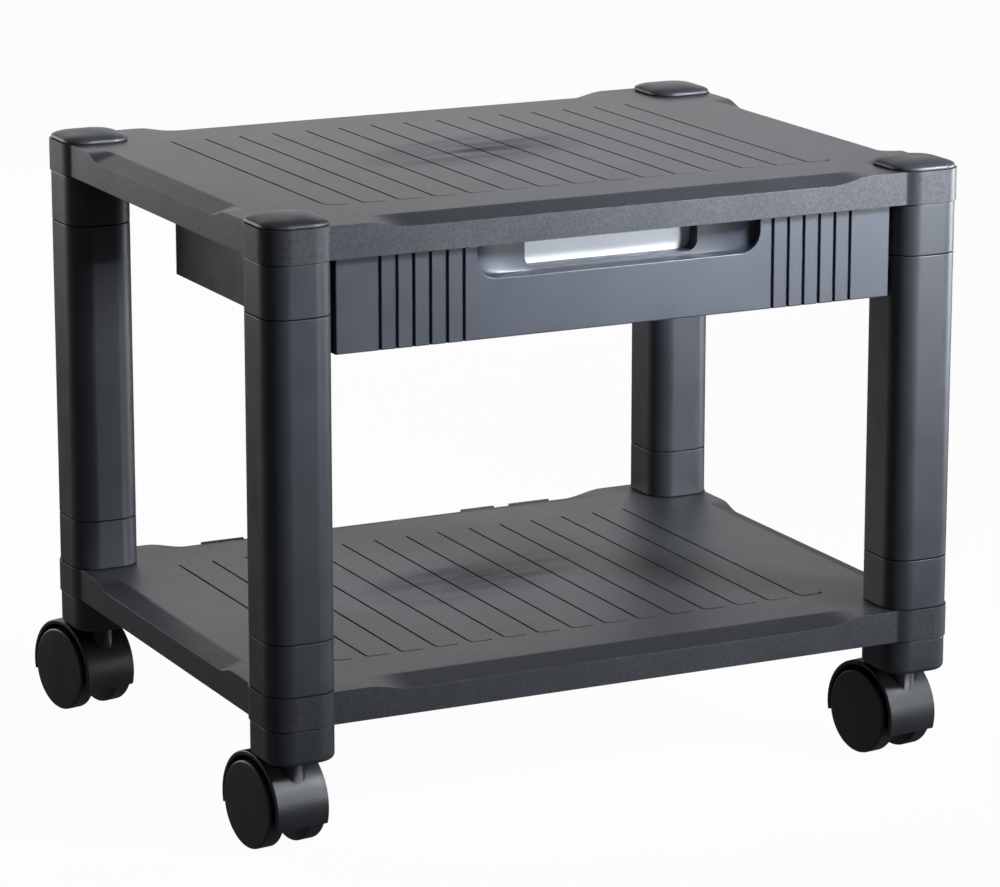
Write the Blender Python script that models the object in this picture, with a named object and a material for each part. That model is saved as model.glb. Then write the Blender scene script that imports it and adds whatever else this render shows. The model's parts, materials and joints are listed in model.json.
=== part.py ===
"""Mobile printer stand: two moulded shelves on four post columns, a drawer and four twin-wheel casters.

Metres, +Z up, the front faces -Y. The stand rests on z = 0, with the origin under the middle of its box.
"""
import itertools
import math

import bmesh
import bpy
from mathutils import Matrix, Vector

# ---------------------------------------------------------------- driving sizes
GAP = 0.0003                # seating gap between two pieces that meet
OVERSHOOT = 0.0100          # how far a cutting tool reaches past a face
FINE = 12                   # facets of small round parts
ROUND = 16                  # facets of larger round parts
STAND_WIDTH = 0.4335        # across the outer faces of the shelf collars, along X
STAND_DEPTH = 0.3362        # across the outer faces of the shelf collars, along Y
CORNER_STEPS = 4            # facets in a rounded corner of a post, collar or cap

POST_X = 0.0409             # section of the post columns
POST_Y = 0.0438
POST_R = 0.0136
POST_WALL = 0.0030
POST_LENGTH = 0.1797        # plain tube between two connectors
CONNECTOR_BODY = 0.0300     # visible height of a connector ring
SPIGOT_LENGTH = 0.0140      # connector spigot inside a post
SOCKET_SPARE = 0.0023       # left free between the two spigots inside a collar
SPIGOT_WALL = 0.0022

SHELF_HEIGHT = 0.0188       # collar and skirt height of a shelf moulding
COLLAR_PROUD = 0.00075      # the collar stands this far outside the post
SKIRT_INSET = 0.0031        # skirt face behind the collar face
SKIRT_WALL = 0.0025
FILLET_R = 0.0040           # blend between collar and skirt
PLATE = 0.0030              # shelf plate thickness
EDGE_DROP = 0.0040          # fall of the sloped edge band
FRONT_BAND = 0.0170         # width of the band on the front and back
SIDE_BAND = 0.0130          # width of the band on the left and right
FRONT_RISE = 0.0260         # length over which the front band rises towards a corner
FRONT_RISE_GAP = 0.01735    # from the end of that rise to the collar
SIDE_RISE = 0.0180          # the same on the left and right
SIDE_RISE_GAP = 0.0188
RISE_STEPS = 4
RIB_THICK = 0.0020
RIB_SETBACK = 0.0098        # rib edge above the skirt's lower edge
SEAT_SETBACK = 0.0035       # runner seats above the skirt's lower edge
RIB_MAX_PITCH = 0.0420
CROSS_RIB_MAX_PITCH = 0.1200

GROOVE_COUNT = 15
GROOVE_LEFT_INSET = 0.05735  # first groove from the left skirt face
GROOVE_RIGHT_INSET = 0.06825  # last groove from the right skirt face
GROOVE_WIDTH = 0.0012
GROOVE_DEPTH = 0.0008
GROOVE_BACK_INSET = 0.0520   # groove end from the back skirt face
GROOVE_FRONT_INSET = 0.0530
GROOVE_HOOK = 0.0135        # length of the foot that each groove turns into
GROOVE_BEND_R = 0.0030

CAP_RIM = 0.0012
CAP_DOME = 0.0035
CAP_INSET = 0.0012
PLUG_SHORT = 0.0002         # cap and foot plugs shorter than a connector spigot
CAP_STEPS = 4

FOOT_HEIGHT = 0.0202
FOOT_ROUND = 0.0028
FOOT_STEPS = 3
FOOT_FLOOR = 0.0030
STEM_BOSS_R = 0.0085

WHEEL_R = 0.0250
WHEEL_WIDTH = 0.0105
WHEEL_GAP = 0.0170          # between the two inner faces of a caster's wheels
WHEEL_EDGE = 0.0012         # rounding of the tread's edges
WHEEL_CROWN = 0.0004        # rise of the outer face at its middle
WHEEL_SEGMENTS = 24
TRAIL = 0.0190              # axle behind the swivel axis
HOOD_CLEARANCE = 0.0025     # between wheel and hood
HOOD_WALL = 0.0028
HOOD_WIDTH = 0.0334
HOOD_BACK_DEG = -12.0       # lower end of the hood behind the axle
HOOD_FRONT_DEG = -17.0      # lower end of the hood in front of the axle
HOOD_TOP_GAP = 0.0007
HOOD_STEPS = 18
HOOD_BOSS_R = 0.0070
HOOD_WEB = 0.0130           # width of the block between the wheels
AXLE_R = 0.0030
AXLE_ENGAGE = 0.0075        # axle inside each wheel
STEM_PIN_R = 0.0040
STEM_TOP_R = 0.0055
STEM_PIN_LENGTH = 0.0240
STEM_TOP_EXTRA = 0.0018     # stem above the foot's visible part
STEM_TIP = 0.0010           # chamfer at the stem's upper end
NOSE_R = 0.0090             # rounding of the hood's block under the axle
PIN_FLOOR = 0.0040          # hood boss under the stem pin
SWIVEL_DEG = {"front_left": 7.5, "back_left": 12.2, "front_right": 7.8, "back_right": 5.0}

FASCIA_SIDE_GAP = 0.0025    # drawer front to post
FASCIA_HEIGHT = 0.0525
FASCIA_DEPTH = 0.0200
FASCIA_WALL = 0.0030
FASCIA_TOP_GAP = 0.0010     # under the skirt
FASCIA_SETBACK = 0.0101     # behind the collar face
HANDLE_INSET = 0.0083       # finger cut-out to the first flute
HANDLE_DEPTH = 0.0190       # down from the fascia's top edge
HANDLE_R = 0.0120
SCOOP_LIP = 0.0030          # straight part of the finger recess
SCOOP_DEPTH = 0.0110        # curved ends of the finger recess
SCOOP_STEPS = 4
WINDOW_INSET = 0.0340       # window inside the finger cut-out, at each end
WINDOW_LEAD = 0.0040        # window tool ahead of the recess floor
WINDOW_SILL = 0.0020
WINDOW_R = 0.0060
FLUTE_COUNT = 6
FLUTE_PITCH = 0.01005
FLUTE_END_INSET = 0.02605   # last flute from the end of the drawer front
FLUTE_WIDTH = 0.0018
FLUTE_DEPTH = 0.0016
FASCIA_SCREW_INSET = 0.0526

TRAY_WALL = 0.0020
TRAY_SHORTFALL = 0.1212     # stand depth less tray depth
TRAY_SIDE_GAP = 0.0010
TRAY_TOP_GAP = 0.0035       # under the fascia's top edge
RUNNER_INSET = 0.0046       # runner web inside the end of the drawer front
RUNNER_LEAD = 0.0010        # runner behind the tray's front face
RUNNER_WALL = 0.0025
RUNNER_LEDGE = 0.0140
RUNNER_FLANGE = 0.0130
RUNNER_STOP = 0.0080
POST_CLEARANCE = 0.0030     # behind the front posts
RUNNER_SCREW_INSET = 0.0190
BOSS_R = 0.0048
SCREW_R = 0.0020
SCREW_HEAD_R = 0.0038
SCREW_HEAD = 0.0022
SCREW_LENGTH = 0.0100
SCREW_TIP = 0.0020

CLIP_THICK = 0.0018
CLIP_HEIGHT = 0.0120
CLIP_RISE = 0.0008
CLIP_SLOT = 0.0050          # space for a cable between plate and lip
CLIP_LIP = 0.0070
CLIPS = {"inner_left": (-0.0695, 0.0230), "inner_right": (0.0695, 0.0230),
         "outer_left": (-0.1060, 0.0280), "outer_right": (0.1060, 0.0280)}

# ---------------------------------------------------------------- worked-out sizes
COLUMN_X = STAND_WIDTH / 2 - COLLAR_PROUD - POST_X / 2
COLUMN_Y = STAND_DEPTH / 2 - COLLAR_PROUD - POST_Y / 2
COLLAR_X = POST_X + 2 * COLLAR_PROUD
COLLAR_Y = POST_Y + 2 * COLLAR_PROUD
COLLAR_R = POST_R + COLLAR_PROUD
SOCKET_ENGAGE = (SHELF_HEIGHT - SOCKET_SPARE) / 2
PLUG = SOCKET_ENGAGE - PLUG_SHORT
BORE_X = POST_X - 2 * POST_WALL
BORE_Y = POST_Y - 2 * POST_WALL
BORE_R = POST_R - POST_WALL
SPIGOT_X = BORE_X - 2 * GAP
SPIGOT_Y = BORE_Y - 2 * GAP
SPIGOT_R = BORE_R - GAP
SKIRT_X = STAND_WIDTH / 2 - SKIRT_INSET
SKIRT_Y = STAND_DEPTH / 2 - SKIRT_INSET
FRONT_RISE_END = COLUMN_X - COLLAR_X / 2 - FRONT_RISE_GAP
FRONT_FLAT_END = FRONT_RISE_END - FRONT_RISE
SIDE_RISE_END = COLUMN_Y - COLLAR_Y / 2 - SIDE_RISE_GAP
SIDE_FLAT_END = SIDE_RISE_END - SIDE_RISE
GROOVE_FIRST_X = GROOVE_LEFT_INSET - SKIRT_X
GROOVE_PITCH = (2 * SKIRT_X - GROOVE_LEFT_INSET - GROOVE_RIGHT_INSET) / (GROOVE_COUNT - 1)
GROOVE_BACK_Y = SKIRT_Y - GROOVE_BACK_INSET
GROOVE_FRONT_Y = GROOVE_FRONT_INSET - SKIRT_Y

HOOD_R = WHEEL_R + HOOD_CLEARANCE + HOOD_WALL
STEM_TOP_LENGTH = FOOT_HEIGHT + STEM_TOP_EXTRA
FOOT_Z = WHEEL_R + HOOD_R + HOOD_TOP_GAP
SHELF_LOW_Z = FOOT_Z + FOOT_HEIGHT
RING_LOW_Z = SHELF_LOW_Z + SHELF_HEIGHT
POST_Z = RING_LOW_Z + CONNECTOR_BODY
RING_HIGH_Z = POST_Z + POST_LENGTH
SHELF_HIGH_Z = RING_HIGH_Z + CONNECTOR_BODY
DECK_Z = SHELF_HIGH_Z + SHELF_HEIGHT

FASCIA_HALF = COLUMN_X - POST_X / 2 - FASCIA_SIDE_GAP
FLUTE_FIRST_X = FASCIA_HALF - FLUTE_END_INSET - (FLUTE_COUNT - 1) * FLUTE_PITCH
HANDLE_WIDTH = 2 * (FLUTE_FIRST_X - HANDLE_INSET)
WINDOW_WIDTH = HANDLE_WIDTH - 2 * WINDOW_INSET
FASCIA_SCREW_X = FASCIA_HALF - FASCIA_SCREW_INSET
FASCIA_TOP = SHELF_HIGH_Z - FASCIA_TOP_GAP
FASCIA_BOTTOM = FASCIA_TOP - FASCIA_HEIGHT
FASCIA_Y = -STAND_DEPTH / 2 + FASCIA_SETBACK
FASCIA_BACK_Y = FASCIA_Y + FASCIA_DEPTH
FLANGE_TOP = SHELF_HIGH_Z + SEAT_SETBACK - GAP
LEDGE_TOP = FASCIA_BOTTOM + RUNNER_WALL
RUNNER_HALF = FASCIA_HALF - RUNNER_INSET
TRAY_HALF = RUNNER_HALF - RUNNER_WALL - TRAY_SIDE_GAP
TRAY_BOTTOM = LEDGE_TOP + GAP
TRAY_TOP = FASCIA_TOP - TRAY_TOP_GAP
TRAY_FRONT_Y = FASCIA_BACK_Y + GAP
TRAY_BACK_Y = TRAY_FRONT_Y + STAND_DEPTH - TRAY_SHORTFALL
RUNNER_FRONT_Y = TRAY_FRONT_Y + RUNNER_LEAD
RUNNER_BACK_Y = TRAY_BACK_Y + GAP + RUNNER_WALL
FLANGE_FRONT_Y = POST_Y / 2 - COLUMN_Y + COLLAR_PROUD + POST_CLEARANCE
BOSS_X = RUNNER_HALF + RUNNER_FLANGE / 2
BOSS_MID_Y = (FLANGE_FRONT_Y + RUNNER_BACK_Y) / 2
BOSS_REACH_Y = (RUNNER_BACK_Y - FLANGE_FRONT_Y) / 2 - RUNNER_SCREW_INSET
CORNERS = {"front_left": (-1, -1), "front_right": (1, -1), "back_left": (-1, 1), "back_right": (1, 1)}


# ---------------------------------------------------------------- materials
def plastic(name, colour, roughness, metallic=0.0):
    """A Principled material with one part's colour."""
    material = bpy.data.materials.new(name)
    material.use_nodes = True
    shader = material.node_tree.nodes["Principled BSDF"]
    shader.inputs["Base Color"].default_value = (*colour, 1.0)
    shader.inputs["Roughness"].default_value = roughness
    shader.inputs["Metallic"].default_value = metallic
    return material


# ---------------------------------------------------------------- outlines
def rounded_rectangle(size_x, size_y, radius, steps=CORNER_STEPS):
    """Anticlockwise outline of a rounded rectangle about the origin."""
    points = []
    for quarter, (sx, sy) in enumerate(((1, 1), (-1, 1), (-1, -1), (1, -1))):
        cx = sx * (size_x / 2 - radius)
        cy = sy * (size_y / 2 - radius)
        for step in range(steps + 1):
            angle = math.pi / 2 * (quarter + step / steps)
            points.append((cx + radius * math.cos(angle), cy + radius * math.sin(angle)))
    return points


# ---------------------------------------------------------------- solids
def finish(bm, name, smooth=True):
    """Turn a bmesh into an object with outward faces."""
    bmesh.ops.recalc_face_normals(bm, faces=bm.faces)
    mesh = bpy.data.meshes.new(name)
    bm.to_mesh(mesh)
    bm.free()
    if smooth:
        mesh.shade_smooth()
        mesh.set_sharp_from_angle(angle=math.radians(35))
    obj = bpy.data.objects.new(name, mesh)
    bpy.context.scene.collection.objects.link(obj)
    return obj


def loft(name, rings, hollow=False):
    """Join rings of (outline, z). A hollow loft runs round its wall and closes on its first ring."""
    bm = bmesh.new()
    loops = [[bm.verts.new((x, y, z)) for x, y in outline] for outline, z in rings]
    count = len(loops[0])
    pairs = list(zip(loops, loops[1:]))
    if hollow:
        pairs.append((loops[-1], loops[0]))
    else:
        bm.faces.new(loops[0][::-1])
        bm.faces.new(loops[-1])
    for low, high in pairs:
        for i in range(count):
            j = (i + 1) % count
            bm.faces.new((low[i], low[j], high[j], high[i]))
    return finish(bm, name)


def prism(name, outline, z0, z1):
    """Straight extrusion of one outline."""
    return loft(name, [(outline, z0), (outline, z1)])


def turned(name, profile, steps):
    """Turn (radius, height) points about Z. The profile starts and ends on the axis."""
    bm = bmesh.new()
    points = [bm.verts.new((radius, 0, height)) for radius, height in profile]
    edges = [bm.edges.new(pair) for pair in zip(points, points[1:])]
    bmesh.ops.spin(bm, geom=points + edges, axis=(0, 0, 1), cent=(0, 0, 0), steps=steps,
                   angle=2 * math.pi, use_merge=True)
    bmesh.ops.remove_doubles(bm, verts=bm.verts, dist=0.00001)
    return finish(bm, name)


def rod(name, radius, low, high, steps=FINE):
    """Upright cylinder between two heights."""
    return turned(name, [(0, low), (radius, low), (radius, high), (0, high)], steps)


def block(name, low, high):
    """Box between two corners."""
    bm = bmesh.new()
    bmesh.ops.create_cube(bm, size=1.0)
    size = Vector(high) - Vector(low)
    middle = (Vector(high) + Vector(low)) / 2
    bmesh.ops.transform(bm, matrix=Matrix.Translation(middle) @ Matrix.Diagonal((*size, 1)), verts=bm.verts)
    return finish(bm, name, smooth=False)


def stepped(name, boxes):
    """One closed solid from (low, high) boxes that touch or overlap."""
    grid = [sorted({round(box[end][axis], 7) for box in boxes for end in (0, 1)}) for axis in range(3)]

    def full(cell):
        if not all(0 <= cell[axis] < len(grid[axis]) - 1 for axis in range(3)):
            return False
        middle = [(grid[axis][cell[axis]] + grid[axis][cell[axis] + 1]) / 2 for axis in range(3)]
        return any(all(low[axis] < middle[axis] < high[axis] for axis in range(3)) for low, high in boxes)

    bm = bmesh.new()
    points = {}
    for cell in itertools.product(*(range(len(line) - 1) for line in grid)):
        for axis, side in itertools.product(range(3), (0, 1)):
            step = [2 * side - 1 if other == axis else 0 for other in range(3)]
            if full(cell) and not full([cell[other] + step[other] for other in range(3)]):
                stepped_face(bm, points, grid, cell, axis, side)
    obj = finish(bm, name, smooth=False)
    return tidy_mesh(obj)


def stepped_face(bm, points, grid, cell, axis, side):
    """One side of one cell, on points shared with the cells beside it."""
    first, second = [other for other in range(3) if other != axis]
    corners = []
    for along, across in ((0, 0), (1, 0), (1, 1), (0, 1)):
        key = list(cell)
        key[axis] += side
        key[first] += along
        key[second] += across
        key = tuple(key)
        if key not in points:
            points[key] = bm.verts.new([grid[other][key[other]] for other in range(3)])
        corners.append(points[key])
    bm.faces.new(corners)


def shifted(obj, x=0.0, y=0.0, z=0.0):
    """Move an object's mesh, so that its origin stays put."""
    obj.data.transform(Matrix.Translation((x, y, z)))
    return obj


def combine(obj, tool, operation):
    """Apply an exact Boolean and drop the tool."""
    modifier = obj.modifiers.new(operation.title(), "BOOLEAN")
    modifier.operation = operation
    modifier.solver = "EXACT"
    modifier.object = tool
    depsgraph = bpy.context.evaluated_depsgraph_get()
    mesh = bpy.data.meshes.new_from_object(obj.evaluated_get(depsgraph))
    obj.modifiers.remove(modifier)
    old = obj.data
    obj.data = mesh
    mesh.name = old.name
    bpy.data.meshes.remove(old)
    bpy.data.objects.remove(tool)
    return obj


def cut(obj, tool):
    return combine(obj, tool, "DIFFERENCE")


def add(obj, tool):
    return combine(obj, tool, "UNION")


def common(obj, tool):
    return combine(obj, tool, "INTERSECT")


def tidy_mesh(obj):
    """Merge the crumbs that Booleans leave on flat faces."""
    bm = bmesh.new()
    bm.from_mesh(obj.data)
    bmesh.ops.remove_doubles(bm, verts=bm.verts, dist=0.00002)
    bmesh.ops.dissolve_limit(bm, angle_limit=math.radians(0.5), verts=bm.verts, edges=bm.edges)
    bm.to_mesh(obj.data)
    bm.free()
    obj.data.shade_smooth()
    obj.data.set_sharp_from_angle(angle=math.radians(35))
    return obj


def place(obj, parent, material, location=(0, 0, 0)):
    """Give a piece its colour, parent and place."""
    obj.data.materials.clear()
    obj.data.materials.append(material)
    obj.parent = parent
    obj.location = location
    return obj


def twin(obj, name):
    """A further copy of a repeated piece, on the same mesh."""
    copy = bpy.data.objects.new(name, obj.data)
    bpy.context.scene.collection.objects.link(copy)
    return copy


def guide(name, location, parent=None, turn=0.0):
    """Empty that carries other pieces."""
    empty = bpy.data.objects.new(name, None)
    empty.location = location
    empty.rotation_euler = (0, 0, turn)
    empty.parent = parent
    bpy.context.scene.collection.objects.link(empty)
    return empty


# ---------------------------------------------------------------- shelf moulding
def blend(value, start, end):
    """Smooth rise from 0 at start to 1 at end."""
    t = min(max((value - start) / (end - start), 0.0), 1.0)
    return t * t * (3 - 2 * t)


def deck_height(x, y):
    """Height of the shelf's upper face over its deck level: 0 on the deck, falling along the edges."""
    toward_front = min(max((abs(y) - (SKIRT_Y - FRONT_BAND)) / FRONT_BAND, 0.0), 1.0)
    toward_side = min(max((abs(x) - (SKIRT_X - SIDE_BAND)) / SIDE_BAND, 0.0), 1.0)
    front = toward_front * (1 - blend(abs(x), FRONT_FLAT_END, FRONT_RISE_END))
    side = toward_side * (1 - blend(abs(y), SIDE_FLAT_END, SIDE_RISE_END))
    return -EDGE_DROP * max(front, side)


def stations(half, skirt, band, flat_end, rise_end):
    """Grid lines of the deck on one axis: the edges, the bands and the steps of each rise."""
    lines = [half, skirt - band]
    if half > skirt:
        lines.append(skirt)
    lines += [flat_end + (rise_end - flat_end) * step / RISE_STEPS for step in range(RISE_STEPS + 1)]
    return sorted([-v for v in lines] + lines)


def deck_solid(name, half_x, half_y, bottom, lift):
    """Box with the shelf's shaped upper face, lifted or lowered by lift."""
    xs = stations(half_x, SKIRT_X, SIDE_BAND, FRONT_FLAT_END, FRONT_RISE_END)
    ys = stations(half_y, SKIRT_Y, FRONT_BAND, SIDE_FLAT_END, SIDE_RISE_END)
    bm = bmesh.new()
    top = [[bm.verts.new((x, y, SHELF_HEIGHT + lift + deck_height(x, y))) for x in xs] for y in ys]
    for j in range(len(ys) - 1):
        for i in range(len(xs) - 1):
            bm.faces.new((top[j][i], top[j][i + 1], top[j + 1][i + 1], top[j + 1][i]))
    twisted = [face for face in bm.faces if not flat(face)]
    bmesh.ops.triangulate(bm, faces=twisted)
    bmesh.ops.dissolve_limit(bm, angle_limit=math.radians(0.1), verts=bm.verts, edges=bm.edges)
    rim = [edge for edge in bm.edges if edge.is_boundary]
    skirt = bmesh.ops.extrude_edge_only(bm, edges=rim)["geom"]
    for vertex in skirt:
        if isinstance(vertex, bmesh.types.BMVert):
            vertex.co.z = bottom
    bmesh.ops.holes_fill(bm, edges=[edge for edge in bm.edges if edge.is_boundary])
    bmesh.ops.dissolve_limit(bm, angle_limit=math.radians(0.1), verts=bm.verts, edges=bm.edges)
    return finish(bm, name)


def flat(face):
    """True where a face's corners all lie in one plane."""
    face.normal_update()
    origin = face.verts[0].co
    return all(abs((vertex.co - origin).dot(face.normal)) < 1e-7 for vertex in face.verts)


def arc(centre, radius, start, end, steps):
    """Points along an arc, both ends included."""
    angles = [start + (end - start) * step / steps for step in range(steps + 1)]
    return [(centre[0] + radius * math.cos(a), centre[1] + radius * math.sin(a)) for a in angles]


def shelf_outline():
    """Plan of a shelf: straight skirts blended into four rounded collars, anticlockwise."""
    hx = COLLAR_X / 2 - COLLAR_R
    hy = COLLAR_Y / 2 - COLLAR_R
    reach = COLLAR_R + FILLET_R
    across = COLLAR_R - SKIRT_INSET + FILLET_R
    along = math.sqrt(reach ** 2 - across ** 2)
    lean = math.atan2(along, across)
    side_fillet = (COLUMN_X + hx + across, COLUMN_Y - hy - along)
    back_fillet = (COLUMN_X - hx - along, COLUMN_Y + hy + across)
    quadrant = arc(side_fillet, FILLET_R, math.pi, math.pi - lean, 2)
    quadrant += arc((COLUMN_X + hx, COLUMN_Y - hy), COLLAR_R, -lean, 0, 2)[1:]
    quadrant += arc((COLUMN_X + hx, COLUMN_Y + hy), COLLAR_R, 0, math.pi / 2, CORNER_STEPS)
    quadrant += arc((COLUMN_X - hx, COLUMN_Y + hy), COLLAR_R, math.pi / 2, math.pi / 2 + lean, 2)[:-1]
    quadrant += arc(back_fillet, FILLET_R, lean - math.pi / 2, -math.pi / 2, 2)
    outline = []
    for sx, sy in ((1, 1), (-1, 1), (-1, -1), (1, -1)):
        points = [(sx * x, sy * y) for x, y in quadrant]
        outline += points if sx * sy > 0 else points[::-1]
    return outline


def groove_outline(index):
    """Plan of one anti-slip groove: a straight run that turns through a small bend into a short foot."""
    x = GROOVE_FIRST_X + index * GROOVE_PITCH
    half = GROOVE_WIDTH / 2
    left, right = [], []
    for step in range(CORNER_STEPS + 1):
        angle = math.pi + math.pi / 2 * step / CORNER_STEPS
        for side, radius in ((left, GROOVE_BEND_R + half), (right, GROOVE_BEND_R - half)):
            side.append((x + GROOVE_BEND_R + radius * math.cos(angle),
                         GROOVE_FRONT_Y + GROOVE_BEND_R + radius * math.sin(angle)))
    outer = [(x - half, GROOVE_BACK_Y)] + left + [(x + GROOVE_HOOK, GROOVE_FRONT_Y - half)]
    inner = [(x + GROOVE_HOOK, GROOVE_FRONT_Y + half)] + right[::-1] + [(x + half, GROOVE_BACK_Y)]
    return outer + inner


def rib_places(half, max_pitch):
    """Evenly spaced rib centres across an inner width, no further apart than the largest pitch."""
    cells = math.ceil(2 * half / max_pitch)
    pitch = 2 * half / cells
    return [-half + pitch * step for step in range(1, cells)]


def shelf_moulding(name):
    """Ribbed plate with a skirt, shaped edge bands, four through-bored corner collars and grooves."""
    shelf = prism(name, shelf_outline(), 0.0, 2 * SHELF_HEIGHT)
    common(shelf, deck_solid("deck", STAND_WIDTH, STAND_DEPTH, -OVERSHOOT, 0.0))
    inner_x = SKIRT_X - SKIRT_WALL
    inner_y = SKIRT_Y - SKIRT_WALL
    pan = deck_solid("pan", inner_x, inner_y, -OVERSHOOT, -PLATE)
    for x in rib_places(inner_x, RIB_MAX_PITCH):
        cut(pan, block("rib", (x - RIB_THICK / 2, -1, RIB_SETBACK), (x + RIB_THICK / 2, 1, 1)))
    for y in rib_places(inner_y, CROSS_RIB_MAX_PITCH):
        cut(pan, block("rib", (-1, y - RIB_THICK / 2, RIB_SETBACK), (1, y + RIB_THICK / 2, 1)))
    corners = [(sx, sy) for sx in (-1, 1) for sy in (-1, 1)]
    for sx, sy in corners:
        collar = prism("collar", rounded_rectangle(COLLAR_X, COLLAR_Y, COLLAR_R), -2 * OVERSHOOT, 1)
        cut(pan, shifted(collar, sx * COLUMN_X, sy * COLUMN_Y))
        boss = rod("boss", BOSS_R, SEAT_SETBACK, 1)
        cut(pan, shifted(boss, sx * BOSS_X, BOSS_MID_Y + sy * BOSS_REACH_Y))
    cut(shelf, pan)
    for sx, sy in corners:
        bore = prism("bore", rounded_rectangle(BORE_X, BORE_Y, BORE_R), -OVERSHOOT, SHELF_HEIGHT + OVERSHOOT)
        cut(shelf, shifted(bore, sx * COLUMN_X, sy * COLUMN_Y))
        pilot = rod("pilot", SCREW_R + GAP, 0, SEAT_SETBACK + SCREW_LENGTH)
        cut(shelf, shifted(pilot, sx * BOSS_X, BOSS_MID_Y + sy * BOSS_REACH_Y))
    groove_low = SHELF_HEIGHT - GROOVE_DEPTH
    for index in range(GROOVE_COUNT):
        cut(shelf, prism("groove", groove_outline(index), groove_low, SHELF_HEIGHT + OVERSHOOT))
    return tidy_mesh(shelf)


# ---------------------------------------------------------------- column pieces
def post_tube(name):
    """Plain hollow post."""
    outer = rounded_rectangle(POST_X, POST_Y, POST_R)
    inner = rounded_rectangle(BORE_X, BORE_Y, BORE_R)
    length = POST_LENGTH - GAP
    return loft(name, [(outer, 0), (outer, length), (inner, length), (inner, 0)], hollow=True)


def connector(name):
    """Ring with a long spigot for the post, upwards, and a short one for the shelf collar, downwards."""
    body = rounded_rectangle(POST_X, POST_Y, POST_R)
    spigot = rounded_rectangle(SPIGOT_X, SPIGOT_Y, SPIGOT_R)
    inner = rounded_rectangle(SPIGOT_X - 2 * SPIGOT_WALL, SPIGOT_Y - 2 * SPIGOT_WALL, SPIGOT_R - SPIGOT_WALL)
    height = CONNECTOR_BODY - GAP
    rings = [(spigot, -SOCKET_ENGAGE), (spigot, 0), (body, 0), (body, height), (spigot, height),
             (spigot, height + SPIGOT_LENGTH), (inner, height + SPIGOT_LENGTH), (inner, -SOCKET_ENGAGE)]
    return loft(name, rings, hollow=True)


def corner_cap(name):
    """Domed cover with a plug that presses into a collar from above."""
    plug = rounded_rectangle(SPIGOT_X, SPIGOT_Y, SPIGOT_R)
    size_x = COLLAR_X - 2 * CAP_INSET
    size_y = COLLAR_Y - 2 * CAP_INSET
    radius = COLLAR_R - CAP_INSET
    edge = rounded_rectangle(size_x, size_y, radius)
    rings = [(plug, -PLUG), (plug, 0), (edge, 0)]
    for step in range(CAP_STEPS):
        angle = math.pi / 2 * step / CAP_STEPS
        shrink = math.cos(angle)
        rings.append(([(x * shrink, y * shrink) for x, y in edge], CAP_RIM + CAP_DOME * math.sin(angle)))
    cap = loft(name, rings)
    bm = bmesh.new()
    bm.from_mesh(cap.data)
    crown = max(bm.faces, key=lambda face: face.calc_center_median().z)
    bmesh.ops.poke(bm, faces=[crown], offset=CAP_DOME * (1 - math.sin(math.pi / 2 * (1 - 1 / CAP_STEPS))))
    bm.to_mesh(cap.data)
    bm.free()
    cap.data.shade_smooth()
    cap.data.set_sharp_from_angle(angle=math.radians(40))
    return cap


def foot(name):
    """Corner foot: a cup with a rounded lower edge, a plug for the shelf collar and a boss for the stem."""
    rings = []
    for step in range(FOOT_STEPS + 1):
        angle = math.pi / 2 * step / FOOT_STEPS
        inset = FOOT_ROUND * (1 - math.sin(angle))
        outline = rounded_rectangle(POST_X - 2 * inset, POST_Y - 2 * inset, POST_R - inset)
        rings.append((outline, FOOT_ROUND * (1 - math.cos(angle))))
    height = FOOT_HEIGHT - GAP
    body = rounded_rectangle(POST_X, POST_Y, POST_R)
    plug = rounded_rectangle(SPIGOT_X, SPIGOT_Y, SPIGOT_R)
    inner = rounded_rectangle(SPIGOT_X - 2 * SPIGOT_WALL, SPIGOT_Y - 2 * SPIGOT_WALL, SPIGOT_R - SPIGOT_WALL)
    rings += [(body, height), (plug, height), (plug, height + PLUG), (inner, height + PLUG),
              (inner, FOOT_FLOOR)]
    cup = loft(name, rings)
    socket_top = STEM_TOP_LENGTH + GAP
    add(cup, rod("boss", STEM_BOSS_R, FOOT_FLOOR / 2, socket_top + FOOT_FLOOR, ROUND))
    cut(cup, rod("socket", STEM_TOP_R + GAP, -OVERSHOOT, socket_top, ROUND))
    return tidy_mesh(cup)


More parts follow.
